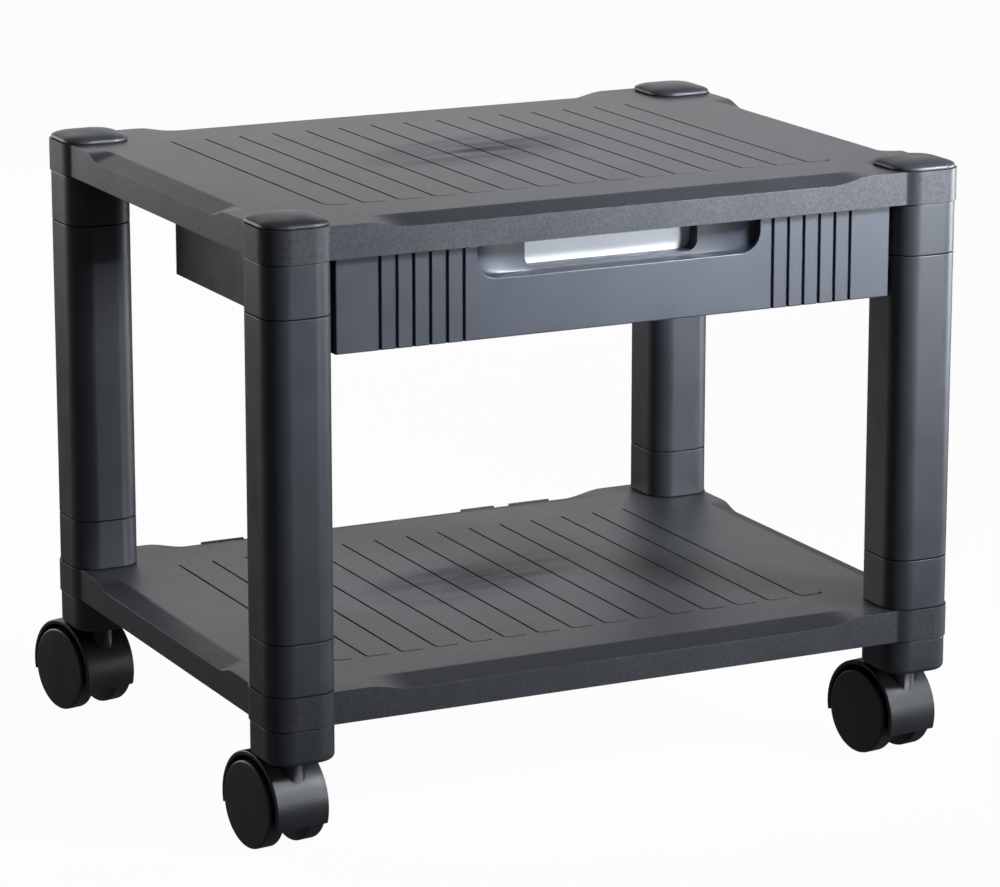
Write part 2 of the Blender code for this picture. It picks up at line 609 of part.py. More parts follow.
# ---------------------------------------------------------------- caster pieces
def hood(name):
    """Barrel over both wheels, with a block between them and an upright boss for the stem.

    The swivel axis is Z at the origin, z = 0 is the floor, and the wheels trail towards +Y.
    """
    start = math.radians(HOOD_BACK_DEG)
    end = math.radians(180 - HOOD_FRONT_DEG)
    angles = [start + (end - start) * step / HOOD_STEPS for step in range(HOOD_STEPS + 1)]
    outer = [(HOOD_R * math.cos(a), HOOD_R * math.sin(a)) for a in angles]
    inner = [((HOOD_R - HOOD_WALL) * math.cos(a), (HOOD_R - HOOD_WALL) * math.sin(a)) for a in angles]
    shell = prism(name, outer + inner[::-1], -HOOD_WIDTH / 2, HOOD_WIDTH / 2)
    reach = HOOD_R - HOOD_WALL / 2
    web_line = [(reach * math.cos(a), reach * math.sin(a)) for a in angles[2:-2]]
    nose = arc((0, 0), NOSE_R, math.pi * 5 / 4, math.pi * 7 / 4, 2)
    web = prism("web", web_line + nose, -HOOD_WEB / 2, HOOD_WEB / 2)
    add(shell, web)
    # The arc was drawn with +X backwards and +Y up, so it is stood up and put over the axle.
    shell.data.transform(Matrix(((0, 0, 1, 0), (1, 0, 0, TRAIL), (0, 1, 0, WHEEL_R), (0, 0, 0, 1))))
    boss_top = FOOT_Z - GAP
    add(shell, rod("boss", HOOD_BOSS_R, boss_top - STEM_PIN_LENGTH - PIN_FLOOR, boss_top, ROUND))
    cut(shell, rod("pin_hole", STEM_PIN_R + GAP, boss_top - STEM_PIN_LENGTH - GAP, FOOT_Z + OVERSHOOT, ROUND))
    bore = rod("axle_hole", AXLE_R + GAP, -HOOD_WIDTH, HOOD_WIDTH)
    bore.data.transform(Matrix.Translation((0, TRAIL, WHEEL_R)) @ Matrix.Rotation(math.pi / 2, 4, "Y"))
    cut(shell, bore)
    return tidy_mesh(shell)


def stem(name):
    """Steel stem: a thin pin that turns in the hood and a thick end that is pressed into the foot."""
    low = FOOT_Z - GAP - STEM_PIN_LENGTH
    top = FOOT_Z + STEM_TOP_LENGTH
    profile = [(0, low), (STEM_PIN_R, low), (STEM_PIN_R, FOOT_Z), (STEM_TOP_R, FOOT_Z),
               (STEM_TOP_R, top - STEM_TIP), (STEM_TOP_R - STEM_TIP, top), (0, top)]
    return turned(name, profile, ROUND)


def axle(name):
    """Steel axle across both wheels, about its own middle, along X."""
    half = WHEEL_GAP / 2 + AXLE_ENGAGE
    shaft = rod(name, AXLE_R, -half, half)
    shaft.data.transform(Matrix.Rotation(math.pi / 2, 4, "Y"))
    return shaft


def wheel(name, side):
    """Wheel with a plain domed face outwards and a blind bore inwards, turned about X. side is -1 or 1."""
    near = WHEEL_GAP / 2
    far = near + WHEEL_WIDTH
    bore = AXLE_R + GAP
    depth = near + AXLE_ENGAGE + GAP
    profile = [(0, depth), (bore, depth), (bore, near), (WHEEL_R - WHEEL_EDGE / 2, near),
               (WHEEL_R, near + WHEEL_EDGE / 2), (WHEEL_R, far - WHEEL_CROWN - WHEEL_EDGE),
               (WHEEL_R - WHEEL_EDGE, far - WHEEL_CROWN), (0, far)]
    disc = turned(name, profile, WHEEL_SEGMENTS)
    disc.data.transform(Matrix.Rotation(side * math.pi / 2, 4, "Y"))
    return disc


# ---------------------------------------------------------------- drawer pieces
def notch(half_width, depth, radius, top):
    """Outline of a slot open at the top, with rounded lower corners. Points are (x, z) from the top edge."""
    points = [(half_width, top)]
    for quarter, sx in ((0, 1), (1, -1)):
        for step in range(CORNER_STEPS + 1):
            angle = -math.pi / 2 * (quarter + step / CORNER_STEPS)
            points.append((sx * (half_width - radius) + radius * math.cos(angle),
                           -depth + radius + radius * math.sin(angle)))
    points.append((-half_width, top))
    return points


def upright(name, sections):
    """Loft of (outline, y) whose outlines stand upright in X and Z."""
    solid = loft(name, sections)
    solid.data.transform(Matrix(((1, 0, 0, 0), (0, 0, 1, 0), (0, 1, 0, 0), (0, 0, 0, 1))))
    solid.data.flip_normals()
    return solid


def fascia_space(name):
    """Space inside the hollow drawer front, clear of the finger recess and of the two screw bosses."""
    half = FASCIA_HALF - FASCIA_WALL
    low = (-half, FASCIA_Y + FASCIA_WALL + FLUTE_DEPTH, FASCIA_BOTTOM + FASCIA_WALL)
    space = block(name, low, (half, FASCIA_BACK_Y + OVERSHOOT, FASCIA_TOP - FASCIA_WALL))
    recess_half = HANDLE_WIDTH / 2 + FASCIA_WALL
    recess_low = FASCIA_TOP - HANDLE_DEPTH - FASCIA_WALL
    cut(space, block("housing", (-recess_half, FASCIA_Y, recess_low), (recess_half, 0, FASCIA_TOP)))
    for side in (-1, 1):
        cut(space, screw_rod("boss", BOSS_R, side, FASCIA_BACK_Y, -FASCIA_DEPTH, FASCIA_DEPTH))
    return space


def recess_tool(name):
    """Tool for the finger recess, whose ends curve in towards the window."""
    sections = [(notch(HANDLE_WIDTH / 2, HANDLE_DEPTH, HANDLE_R, OVERSHOOT), FASCIA_Y - OVERSHOOT)]
    for step in range(SCOOP_STEPS + 1):
        turn = math.pi / 2 * step / SCOOP_STEPS
        width = HANDLE_WIDTH / 2 - WINDOW_INSET * (1 - math.cos(turn))
        depth = SCOOP_LIP + (SCOOP_DEPTH - SCOOP_LIP) * math.sin(turn)
        sections.append((notch(width, HANDLE_DEPTH, HANDLE_R, OVERSHOOT), FASCIA_Y + depth))
    return shifted(upright(name, sections), z=FASCIA_TOP)


def window_tool(name):
    """Tool for the window behind the finger recess."""
    outline = notch(WINDOW_WIDTH / 2, HANDLE_DEPTH - WINDOW_SILL, WINDOW_R, OVERSHOOT)
    window = upright(name, [(outline, FASCIA_Y + SCOOP_DEPTH - WINDOW_LEAD), (outline, 0.0)])
    return shifted(window, z=FASCIA_TOP)


def drawer_front(name):
    """Hollow fascia with a finger recess, a window in the recess and upright flutes at both ends."""
    low = (-FASCIA_HALF, FASCIA_Y, FASCIA_BOTTOM)
    front = block(name, low, (FASCIA_HALF, FASCIA_BACK_Y, FASCIA_TOP))
    cut(front, fascia_space("space"))
    cut(front, recess_tool("recess"))
    cut(front, window_tool("window"))
    for side in (-1, 1):
        for index in range(FLUTE_COUNT):
            x = side * (FLUTE_FIRST_X + index * FLUTE_PITCH)
            low = (x - FLUTE_WIDTH / 2, FASCIA_Y - OVERSHOOT, FASCIA_BOTTOM - OVERSHOOT)
            high = (x + FLUTE_WIDTH / 2, FASCIA_Y + FLUTE_DEPTH, FASCIA_TOP + OVERSHOOT)
            cut(front, block("flute", low, high))
        reach = SCREW_LENGTH - TRAY_WALL
        cut(front, screw_rod("pilot", SCREW_R + GAP, side, FASCIA_BACK_Y, -FASCIA_DEPTH, reach))
    return tidy_mesh(front)


def screw_height():
    """Height of the two screws that hold the drawer front."""
    return FASCIA_BOTTOM + (FASCIA_HEIGHT - HANDLE_DEPTH) / 2


def screw_rod(name, radius, side, y, back, front):
    """Level cylinder on the line of a drawer front screw, from behind a place to in front of it."""
    cylinder = rod(name, radius, back, front)
    turn = Matrix.Rotation(math.pi / 2, 4, "X")
    cylinder.data.transform(Matrix.Translation((side * FASCIA_SCREW_X, y, screw_height())) @ turn)
    return cylinder


def drawer_tray(name):
    """Open box that slides between the runners, with two screw holes in its front wall."""
    tray = block(name, (-TRAY_HALF, TRAY_FRONT_Y, TRAY_BOTTOM), (TRAY_HALF, TRAY_BACK_Y, TRAY_TOP))
    low = (-TRAY_HALF + TRAY_WALL, TRAY_FRONT_Y + TRAY_WALL, TRAY_BOTTOM + TRAY_WALL)
    cut(tray, block("inside", low, (TRAY_HALF - TRAY_WALL, TRAY_BACK_Y - TRAY_WALL, TRAY_TOP + OVERSHOOT)))
    for side in (-1, 1):
        cut(tray, screw_rod("hole", SCREW_R + GAP, side, TRAY_FRONT_Y, -OVERSHOOT, OVERSHOOT))
    return tidy_mesh(tray)


def runner(name, side):
    """Side rail under the upper shelf: web, ledge under the tray, screwed flange and a closed-end stop."""
    web_in = RUNNER_HALF - RUNNER_WALL

    def slab(x0, x1, y0, z0, z1):
        return (min(side * x0, side * x1), y0, z0), (max(side * x0, side * x1), RUNNER_BACK_Y, z1)

    rail = stepped(name, [
        slab(web_in, RUNNER_HALF, RUNNER_FRONT_Y, FASCIA_BOTTOM, FLANGE_TOP),
        slab(RUNNER_HALF - RUNNER_LEDGE, RUNNER_HALF, RUNNER_FRONT_Y, FASCIA_BOTTOM, LEDGE_TOP),
        slab(web_in, RUNNER_HALF + RUNNER_FLANGE, FLANGE_FRONT_Y, FLANGE_TOP - RUNNER_WALL, FLANGE_TOP),
        slab(RUNNER_HALF - RUNNER_STOP, RUNNER_HALF, RUNNER_BACK_Y - RUNNER_WALL, FASCIA_BOTTOM, FASCIA_TOP),
    ])
    for sy in (-1, 1):
        hole = rod("hole", SCREW_R + GAP, -OVERSHOOT, OVERSHOOT)
        cut(rail, shifted(hole, side * BOSS_X, BOSS_MID_Y + sy * BOSS_REACH_Y, FLANGE_TOP))
    return tidy_mesh(rail)


def screw(name):
    """Pan-head screw that points up, with the underside of its head at z = 0."""
    tip = SCREW_LENGTH - GAP
    profile = [(0, -SCREW_HEAD), (SCREW_HEAD_R * 0.6, -SCREW_HEAD), (SCREW_HEAD_R, -SCREW_HEAD * 0.4),
               (SCREW_HEAD_R, 0), (SCREW_R, 0), (SCREW_R, tip - SCREW_TIP), (0, tip)]
    return turned(name, profile, FINE)


def cable_clip(name, width):
    """Cable holder on the back skirt of the lower shelf: a plate, a floor and a lip, open upwards."""
    face = SKIRT_Y + GAP
    edge = SHELF_LOW_Z + SHELF_HEIGHT - EDGE_DROP
    floor = edge - CLIP_HEIGHT
    half = width / 2
    lip = face + CLIP_THICK + CLIP_SLOT
    return stepped(name, [
        ((-half, face, floor), (half, face + CLIP_THICK, edge + CLIP_RISE)),
        ((-half, face, floor), (half, lip + CLIP_THICK, floor + CLIP_THICK)),
        ((-half, lip, floor), (half, lip + CLIP_THICK, floor + CLIP_LIP)),
    ])


# ---------------------------------------------------------------- assembly
def build_columns(frame, black):
    """Posts, connectors, caps and feet on the four corners."""
    post = post_tube("post_front_left")
    ring = connector("lower_connector_front_left")
    cap = corner_cap("corner_cap_front_left")
    pad = foot("foot_front_left")
    for index, (corner, (sx, sy)) in enumerate(CORNERS.items()):
        x = sx * COLUMN_X
        y = sy * COLUMN_Y
        first = index == 0
        place(post if first else twin(post, f"post_{corner}"), frame, black, (x, y, POST_Z + GAP / 2))
        lower = ring if first else twin(ring, f"lower_connector_{corner}")
        place(lower, frame, black, (x, y, RING_LOW_Z + GAP / 2))
        upper = place(twin(ring, f"upper_connector_{corner}"), frame, black, (x, y, SHELF_HIGH_Z - GAP / 2))
        upper.rotation_euler = (math.pi, 0, 0)
        place(cap if first else twin(cap, f"corner_cap_{corner}"), frame, black, (x, y, DECK_Z + GAP))
        place(pad if first else twin(pad, f"foot_{corner}"), frame, black, (x, y, FOOT_Z))


def build_shelves(frame, black):
    """Two shelves from one moulding."""
    upper = shelf_moulding("upper_shelf")
    place(upper, frame, black, (0, 0, SHELF_HIGH_Z))
    place(twin(upper, "lower_shelf"), frame, black, (0, 0, SHELF_LOW_Z))


def build_casters(frame, plastic_black, steel):
    """Four swivelling twin-wheel casters."""
    pieces = {"hood": hood("caster_hood_front_left"), "stem": stem("caster_stem_front_left"),
              "axle": axle("caster_axle_front_left"), "left": wheel("caster_wheel_left_front_left", -1),
              "right": wheel("caster_wheel_right_front_left", 1)}
    for index, (corner, (sx, sy)) in enumerate(CORNERS.items()):
        column = (sx * COLUMN_X, sy * COLUMN_Y, 0)
        swivel = guide(f"swivel_{corner}", column, frame, math.radians(SWIVEL_DEG[corner]))
        copies = pieces if index == 0 else {key: twin(piece, piece.name.replace("front_left", corner))
                                            for key, piece in pieces.items()}
        place(copies["stem"], frame, steel, column)
        place(copies["hood"], swivel, plastic_black)
        for key, material in (("axle", steel), ("left", plastic_black), ("right", plastic_black)):
            place(copies[key], swivel, material, (0, TRAIL, WHEEL_R))


def build_drawer(frame, black, grey, steel):
    """Drawer with its runners and screws."""
    slide = guide("drawer_slide", (0, 0, 0), frame)
    place(drawer_front("drawer_front"), slide, black)
    place(drawer_tray("drawer_tray"), slide, grey)
    fixing = screw("drawer_front_screw_left")
    for side, label in ((-1, "left"), (1, "right")):
        place(runner(f"drawer_runner_{label}", side), frame, black)
        front_screw = fixing if side == -1 else twin(fixing, "drawer_front_screw_right")
        y = TRAY_FRONT_Y + TRAY_WALL + GAP
        place(front_screw, slide, steel, (side * FASCIA_SCREW_X, y, screw_height()))
        front_screw.rotation_euler = (math.pi / 2, 0, 0)
        for sy, end in ((-1, "front"), (1, "back")):
            rail_screw = twin(fixing, f"runner_screw_{end}_{label}")
            y = BOSS_MID_Y + sy * BOSS_REACH_Y
            place(rail_screw, frame, steel, (side * BOSS_X, y, FLANGE_TOP - RUNNER_WALL - GAP))


def build_clips(frame, black):
    """Cable clips along the back edge of the lower shelf."""
    for label, (x, width) in CLIPS.items():
        place(cable_clip(f"cable_clip_{label}", width), frame, black, (x, 0, 0))


def centre_on_floor(frame):
    """Shift the whole stand, so that the origin is under the middle of its box."""
    bpy.context.view_layer.update()
    corners = [obj.matrix_world @ vertex.co for obj in bpy.data.objects if obj.type == "MESH"
               for vertex in obj.data.vertices]
    for axis in (0, 1):
        values = [corner[axis] for corner in corners]
        frame.location[axis] = -(min(values) + max(values)) / 2


def main():
    for obj in list(bpy.data.objects):
        bpy.data.objects.remove(obj)
    black = plastic("black_moulding", (0.055, 0.058, 0.065), 0.45)
    caster_black = plastic("caster_black", (0.035, 0.035, 0.038), 0.50)
    grey = plastic("grey_moulding", (0.62, 0.65, 0.68), 0.50)
    steel = plastic("zinc_steel", (0.60, 0.61, 0.62), 0.35, 1.0)
    frame = guide("stand_frame", (0, 0, 0))
    build_shelves(frame, black)
    build_columns(frame, black)
    build_casters(frame, caster_black, steel)
    build_drawer(frame, black, grey, steel)
    build_clips(frame, black)
    centre_on_floor(frame)


if __name__ == "__main__":
    main()
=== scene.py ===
"""Mobile printer stand: two grooved shelves, four post columns, a drawer and twin-wheel casters.

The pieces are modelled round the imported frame, in metres, +Z up, with the drawer facing -Y.
"""
import json
import math

import bmesh
import bpy
from bpy.props import FloatProperty, FloatVectorProperty, IntProperty, PointerProperty
from mathutils import Matrix, Vector


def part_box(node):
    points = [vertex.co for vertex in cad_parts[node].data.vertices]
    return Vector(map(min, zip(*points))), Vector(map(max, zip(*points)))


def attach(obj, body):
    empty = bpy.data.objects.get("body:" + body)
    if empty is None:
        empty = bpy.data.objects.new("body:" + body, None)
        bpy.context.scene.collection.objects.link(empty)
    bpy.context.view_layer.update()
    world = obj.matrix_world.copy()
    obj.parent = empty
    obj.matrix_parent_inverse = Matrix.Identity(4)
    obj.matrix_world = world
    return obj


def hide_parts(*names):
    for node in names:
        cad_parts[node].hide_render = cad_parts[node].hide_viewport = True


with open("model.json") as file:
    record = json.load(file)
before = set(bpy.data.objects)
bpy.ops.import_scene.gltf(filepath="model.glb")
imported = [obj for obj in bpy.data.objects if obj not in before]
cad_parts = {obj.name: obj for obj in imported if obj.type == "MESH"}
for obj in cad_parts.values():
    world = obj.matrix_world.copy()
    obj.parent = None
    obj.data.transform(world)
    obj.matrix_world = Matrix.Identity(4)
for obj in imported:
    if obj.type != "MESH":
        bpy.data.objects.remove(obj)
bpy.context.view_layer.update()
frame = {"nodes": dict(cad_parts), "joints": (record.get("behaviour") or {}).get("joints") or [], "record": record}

bl_info = {
    "name": "Mobile Printer Stand",
    "version": (1, 0, 0),
    "blender": (4, 5, 0),
    "location": "View3D > Sidebar > Printer Stand",
    "description": "Builds the visual pieces of a rolling printer stand on its packed frame",
    "category": "Add Mesh",
}

CORNERS = {"front_left": (-1, -1), "front_right": (1, -1), "back_left": (-1, 1), "back_right": (1, 1)}
GAP = 0.0003                     # seating gap between pieces that meet
HALF_PI = math.pi / 2
OVERSHOOT = 0.005                # how far a cutter reaches past the face that it opens
SAME_PLACE = 0.00002             # lengths that differ by less count as equal
MERGE = 0.00001                  # points closer than this become one
SLICE = 0.000001                 # reach of a slicing plane to points that lie on it

WEDGE_LAP = 0.001                # how far a fillet's block reaches into the collar and the skirt
SHELF_ROUND = 0.0005             # rounding of a shelf's lower edge
POCKET_WALL = 0.0025             # wall of the skirt round the pockets
POCKET_ROUND = 0.0020            # rounding of a pocket's upright edges
POCKETS = (11, 3)                # pockets under a deck along X and Y
PAN_LAP = 0.0002                 # how far the shallow pan reaches into the pockets

FOOT_SPIGOT = 0.0080             # height of a foot's spigot in the lower shelf
FOOT_ROUND_STEPS = 5
DOME_STEPS = 7                   # rings of a corner cap's dome

HOOD_STEPS = 44                  # faces along the hood's curve
HOOD_ROUND = 0.3                 # rounding of the hood's section as a share of its wall
WEB_DROP = 0.0070                # the web ends this far under the axle
BOSS_DROP = 0.0040               # the boss ends this far under the stem
STEM_RADIUS = 0.0040
WHEEL_SPACE = 0.0170             # between the two wheels of a caster
WHEEL_WIDTH = 0.0105
WHEEL_CROWN = 0.0004             # the outer face bulges by this much in all
WHEEL_RINGS = ((0.93, 0.00012), (0.62, 0.00020), (0.30, 0.00008))  # share of the radius left, rise
AXLE_RADIUS = 0.0030
AXLE_REACH = 0.0075              # how deep the axle sits in a wheel

SCOOP_STEPS = 10
WINDOW_LAP = 0.004               # how far the window's cut starts inside the finger recess
FLUTE_LIP = 0.0003               # flare at the mouth of a flute
TRAY_FOOT_ROUND = 0.0012
TRAY_RIM_ROUND = 0.0004

FLOOR_SIZE = 60
FLOOR_DROP = 0.0002              # the floor lies this far under the wheels
FLOOR_GLOW = 0.965               # light that the floor gives off by itself
SKY_COLOUR = (0.9, 0.95, 1, 1)
SKY_GLOW = 0.10


# ---------------------------------------------------------------- places read from the frame
def node_box(name):
    """Lowest corner, highest corner and middle of a CAD node."""
    low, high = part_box(name)
    return low, high, (low + high) / 2


def joint_named(name):
    """One joint of the frame's record."""
    for joint in frame["joints"]:
        if joint["name"] == name:
            return joint
    raise RuntimeError(f"the frame has no joint named {name}")


# ---------------------------------------------------------------- sizes and colours
class ShelfSizes(bpy.types.PropertyGroup):
    skirt_inset: FloatProperty(
        name="Skirt inset", description="Skirt face behind the collar face",
        default=0.0031, unit="LENGTH")
    fillet: FloatProperty(
        name="Fillet", description="Radius between collar and skirt",
        default=0.0040, unit="LENGTH")
    collar_size: FloatVectorProperty(
        name="Collar size", description="Section of a corner collar",
        default=(0.0424, 0.0453), size=2, unit="LENGTH")
    collar_radius: FloatProperty(
        name="Collar radius", description="Rounding of a collar's upright edges",
        default=0.01435, unit="LENGTH")
    bore_inset: FloatProperty(
        name="Bore inset", description="Collar wall round the post socket",
        default=0.00375, unit="LENGTH")
    edge_drop: FloatProperty(
        name="Edge drop", description="Fall of the sloped edge bands",
        default=0.0040, unit="LENGTH")
    front_band: FloatProperty(
        name="Front band", description="Width of the sloped band on the front and back",
        default=0.0170, unit="LENGTH")
    side_band: FloatProperty(
        name="Side band", description="Width of the sloped band on the two sides",
        default=0.0130, unit="LENGTH")
    front_rise: FloatVectorProperty(
        name="Front rise", description="Where the front band starts and ends its rise, from the middle",
        default=(0.1310, 0.1570), size=2, unit="LENGTH")
    side_rise: FloatVectorProperty(
        name="Side rise", description="Where the side band starts and ends its rise, from the middle",
        default=(0.0860, 0.1040), size=2, unit="LENGTH")
    crease: FloatProperty(
        name="Crease", description="Half the width of the soft bend where a band begins",
        default=0.0012, unit="LENGTH")
    top_edge: FloatProperty(
        name="Top edge", description="Rounding of the skirt's upper edge",
        default=0.0008, unit="LENGTH")
    groove_count: IntProperty(
        name="Grooves", description="Number of anti-slip grooves", default=15)
    groove_pitch: FloatProperty(
        name="Groove pitch", description="Distance between two grooves",
        default=0.02155, unit="LENGTH")
    groove_first: FloatProperty(
        name="First groove", description="Place of the first groove along X, from the middle",
        default=-0.1563, unit="LENGTH")
    groove_ends: FloatVectorProperty(
        name="Groove ends", description="Front and back end of a groove along Y, from the middle",
        default=(-0.1120, 0.1130), size=2, unit="LENGTH")
    groove_width: FloatProperty(
        name="Groove width", description="Width of a groove", default=0.0015, unit="LENGTH")
    groove_depth: FloatProperty(
        name="Groove depth", description="Depth of a groove", default=0.0011, unit="LENGTH")
    groove_hooks: FloatVectorProperty(
        name="Groove hooks", description="Length of the foot of the first, the inner and the last grooves",
        default=(0.0122, 0.0132, 0.0110), size=3, unit="LENGTH")
    groove_bends: FloatVectorProperty(
        name="Groove bends", description="Radius of the turn of the first, the inner and the last grooves",
        default=(0.0095, 0.0030, 0.0042), size=3, unit="LENGTH")
    plate: FloatProperty(
        name="Plate", description="Thickness of the deck over its pockets",
        default=0.0068, unit="LENGTH")
    rib: FloatProperty(
        name="Rib", description="Thickness of the ribs under the deck", default=0.0020, unit="LENGTH")
    rib_setback: FloatProperty(
        name="Rib setback", description="Rib edge above the skirt's lower edge",
        default=0.0035, unit="LENGTH")


class ColumnSizes(bpy.types.PropertyGroup):
    radius: FloatProperty(
        name="Corner radius", description="Rounding of a post's upright edges",
        default=0.0136, unit="LENGTH")
    wall: FloatProperty(
        name="Wall", description="Wall of a post", default=0.0030, unit="LENGTH")
    rim: FloatProperty(
        name="Rim", description="Rounding at the ends of posts and rings",
        default=0.00045, unit="LENGTH")
    reveal: FloatProperty(
        name="Reveal", description="Extra joint width at both ends of a ring",
        default=0.00025, unit="LENGTH")
    spigot_wall: FloatProperty(
        name="Spigot wall", description="Wall of a ring's spigots", default=0.0022, unit="LENGTH")
    foot_round: FloatProperty(
        name="Foot rounding", description="Rounding of a foot's lower edge",
        default=0.0028, unit="LENGTH")
    cap_rim: FloatProperty(
        name="Cap rim", description="Upright edge of a corner cap", default=0.0012, unit="LENGTH")
    cap_inset: FloatProperty(
        name="Cap inset", description="Cap edge inside the collar face",
        default=0.0012, unit="LENGTH")


class CasterSizes(bpy.types.PropertyGroup):
    wheel_radius: FloatProperty(
        name="Wheel radius", description="Radius of a wheel", default=0.0250, unit="LENGTH")
    wheel_edge: FloatProperty(
        name="Wheel edge", description="Rounding of the tread's edges", default=0.0012, unit="LENGTH")
    hood_radius: FloatProperty(
        name="Hood radius", description="Outer radius of the hood", default=0.0303, unit="LENGTH")
    hood_wall: FloatProperty(
        name="Hood wall", description="Thickness of the hood", default=0.0028, unit="LENGTH")
    hood_width: FloatProperty(
        name="Hood width", description="Width of the hood along the axle",
        default=0.0334, unit="LENGTH")
    hood_back: FloatProperty(
        name="Hood back", description="Lower end of the hood behind the axle",
        default=math.radians(-12), subtype="ANGLE")
    hood_front: FloatProperty(
        name="Hood front", description="Lower end of the hood in front of the axle",
        default=math.radians(197), subtype="ANGLE")
    web: FloatProperty(
        name="Web", description="Width of the block between the wheels",
        default=0.0130, unit="LENGTH")
    boss_radius: FloatProperty(
        name="Boss radius", description="Radius of the upright stem boss",
        default=0.0070, unit="LENGTH")


class DrawerSizes(bpy.types.PropertyGroup):
    wall: FloatProperty(
        name="Front wall", description="Wall of the hollow drawer front",
        default=0.0030, unit="LENGTH")
    edge: FloatProperty(
        name="Front edge", description="Rounding of the drawer front's edges",
        default=0.0007, unit="LENGTH")
    handle_width: FloatProperty(
        name="Handle width", description="Width of the finger cut-out", default=0.1760, unit="LENGTH")
    handle_depth: FloatProperty(
        name="Handle depth", description="Depth of the cut-out from the top edge",
        default=0.0190, unit="LENGTH")
    handle_radius: FloatProperty(
        name="Handle radius", description="Rounding of the cut-out's lower corners",
        default=0.0120, unit="LENGTH")
    scoop: FloatVectorProperty(
        name="Scoop", description="Where the curved ends start and stop behind the front face",
        default=(0.0030, 0.0110), size=2, unit="LENGTH")
    window_width: FloatProperty(
        name="Window width", description="Width of the opening in the recess",
        default=0.1080, unit="LENGTH")
    window_sill: FloatProperty(
        name="Window sill", description="Sill under the opening", default=0.0020, unit="LENGTH")
    window_radius: FloatProperty(
        name="Window radius", description="Rounding of the opening's lower corners",
        default=0.0060, unit="LENGTH")
    flutes: IntProperty(
        name="Flutes", description="Number of flutes at each end", default=6)
    flute_pitch: FloatProperty(
        name="Flute pitch", description="Distance between two flutes", default=0.01005, unit="LENGTH")
    flute_first: FloatProperty(
        name="First flute", description="Place of the first flute from the middle",
        default=0.0963, unit="LENGTH")
    flute_width: FloatProperty(
        name="Flute width", description="Width of a flute", default=0.0016, unit="LENGTH")
    flute_depth: FloatProperty(
        name="Flute depth", description="Depth of a flute", default=0.0016, unit="LENGTH")
    tray_wall: FloatProperty(
        name="Tray wall", description="Wall of the tray", default=0.0020, unit="LENGTH")
    tray_corner: FloatProperty(
        name="Tray corner", description="Rounding of the tray's upright edges",
        default=0.0030, unit="LENGTH")


class StandColours(bpy.types.PropertyGroup):
    shelf: FloatVectorProperty(
        name="Shelf", description="Moulded shelves", default=(0.026, 0.027, 0.031),
        size=3, subtype="COLOR")
    post: FloatVectorProperty(
        name="Post", description="Posts, rings and feet", default=(0.024, 0.026, 0.031),
        size=3, subtype="COLOR")
    cap: FloatVectorProperty(
        name="Cap", description="Corner caps and clips", default=(0.026, 0.026, 0.029),
        size=3, subtype="COLOR")
    drawer: FloatVectorProperty(
        name="Drawer", description="Drawer front and runners", default=(0.034, 0.038, 0.048),
        size=3, subtype="COLOR")
    caster: FloatVectorProperty(
        name="Caster", description="Hoods and wheels", default=(0.016, 0.016, 0.018),
        size=3, subtype="COLOR")
    tray: FloatVectorProperty(
        name="Tray", description="Drawer tray", default=(0.82, 0.85, 0.88),
        size=3, subtype="COLOR")
    steel: FloatVectorProperty(
        name="Steel", description="Stems, axles and screws", default=(0.55, 0.56, 0.57),
        size=3, subtype="COLOR")
    floor: FloatVectorProperty(
        name="Floor", description="Studio floor", default=(0.03, 0.03, 0.03),
        size=3, subtype="COLOR")


class StudioSizes(bpy.types.PropertyGroup):
    lens: FloatProperty(
        name="Lens", description="Focal length in millimetres", default=157.2)
    azimuth: FloatProperty(
        name="Azimuth", description="Camera angle round the stand",
        default=math.radians(-26.285), subtype="ANGLE")
    elevation: FloatProperty(
        name="Elevation", description="Camera angle above the horizon",
        default=math.radians(13.899), subtype="ANGLE")
    distance: FloatProperty(
        name="Distance", description="Camera to the point that it looks at",
        default=2.5813, unit="LENGTH")
    aim: FloatVectorProperty(
        name="Aim", description="Point looked at, from the floor under the middle of the shelves",
        default=(0.0027, -0.0017, 0.1785), size=3, unit="LENGTH")


# ---------------------------------------------------------------- modelling by hand
def deselect_all():
    """Leave edit mode with nothing selected."""
    active = bpy.context.view_layer.objects.active
    if active is not None and active.mode != "OBJECT":
        bpy.ops.object.mode_set(mode="OBJECT")
    bpy.ops.object.select_all(action="DESELECT")


def activate(*objects):
    """Select these objects, the first one active."""
    deselect_all()
    for obj in objects:
        obj.select_set(True)
    bpy.context.view_layer.objects.active = objects[0]


def apply_place(obj):
    """Put the object's place into its mesh, with its origin on the world's."""
    activate(obj)
    bpy.ops.object.transform_apply(location=True, rotation=True, scale=True)
    return obj


def named(name):
    """Name the new primitive and put its place into its mesh."""
    obj = bpy.context.view_layer.objects.active
    obj.name = name
    obj.data.name = name
    return apply_place(obj)


def block(name, low, high):
    """Box between two corners."""
    deselect_all()
    low = Vector(low)
    high = Vector(high)
    bpy.ops.mesh.primitive_cube_add(size=1.0, location=(low + high) / 2, scale=high - low)
    return named(name)


def rod(name, start, end, radius, vertices=48):
    """Cylinder between two points."""
    deselect_all()
    start = Vector(start)
    line = Vector(end) - start
    turn = line.to_track_quat("Z", "Y").to_euler()
    bpy.ops.mesh.primitive_cylinder_add(
        vertices=vertices, radius=radius, depth=line.length, location=start + line / 2, rotation=turn)
    return named(name)


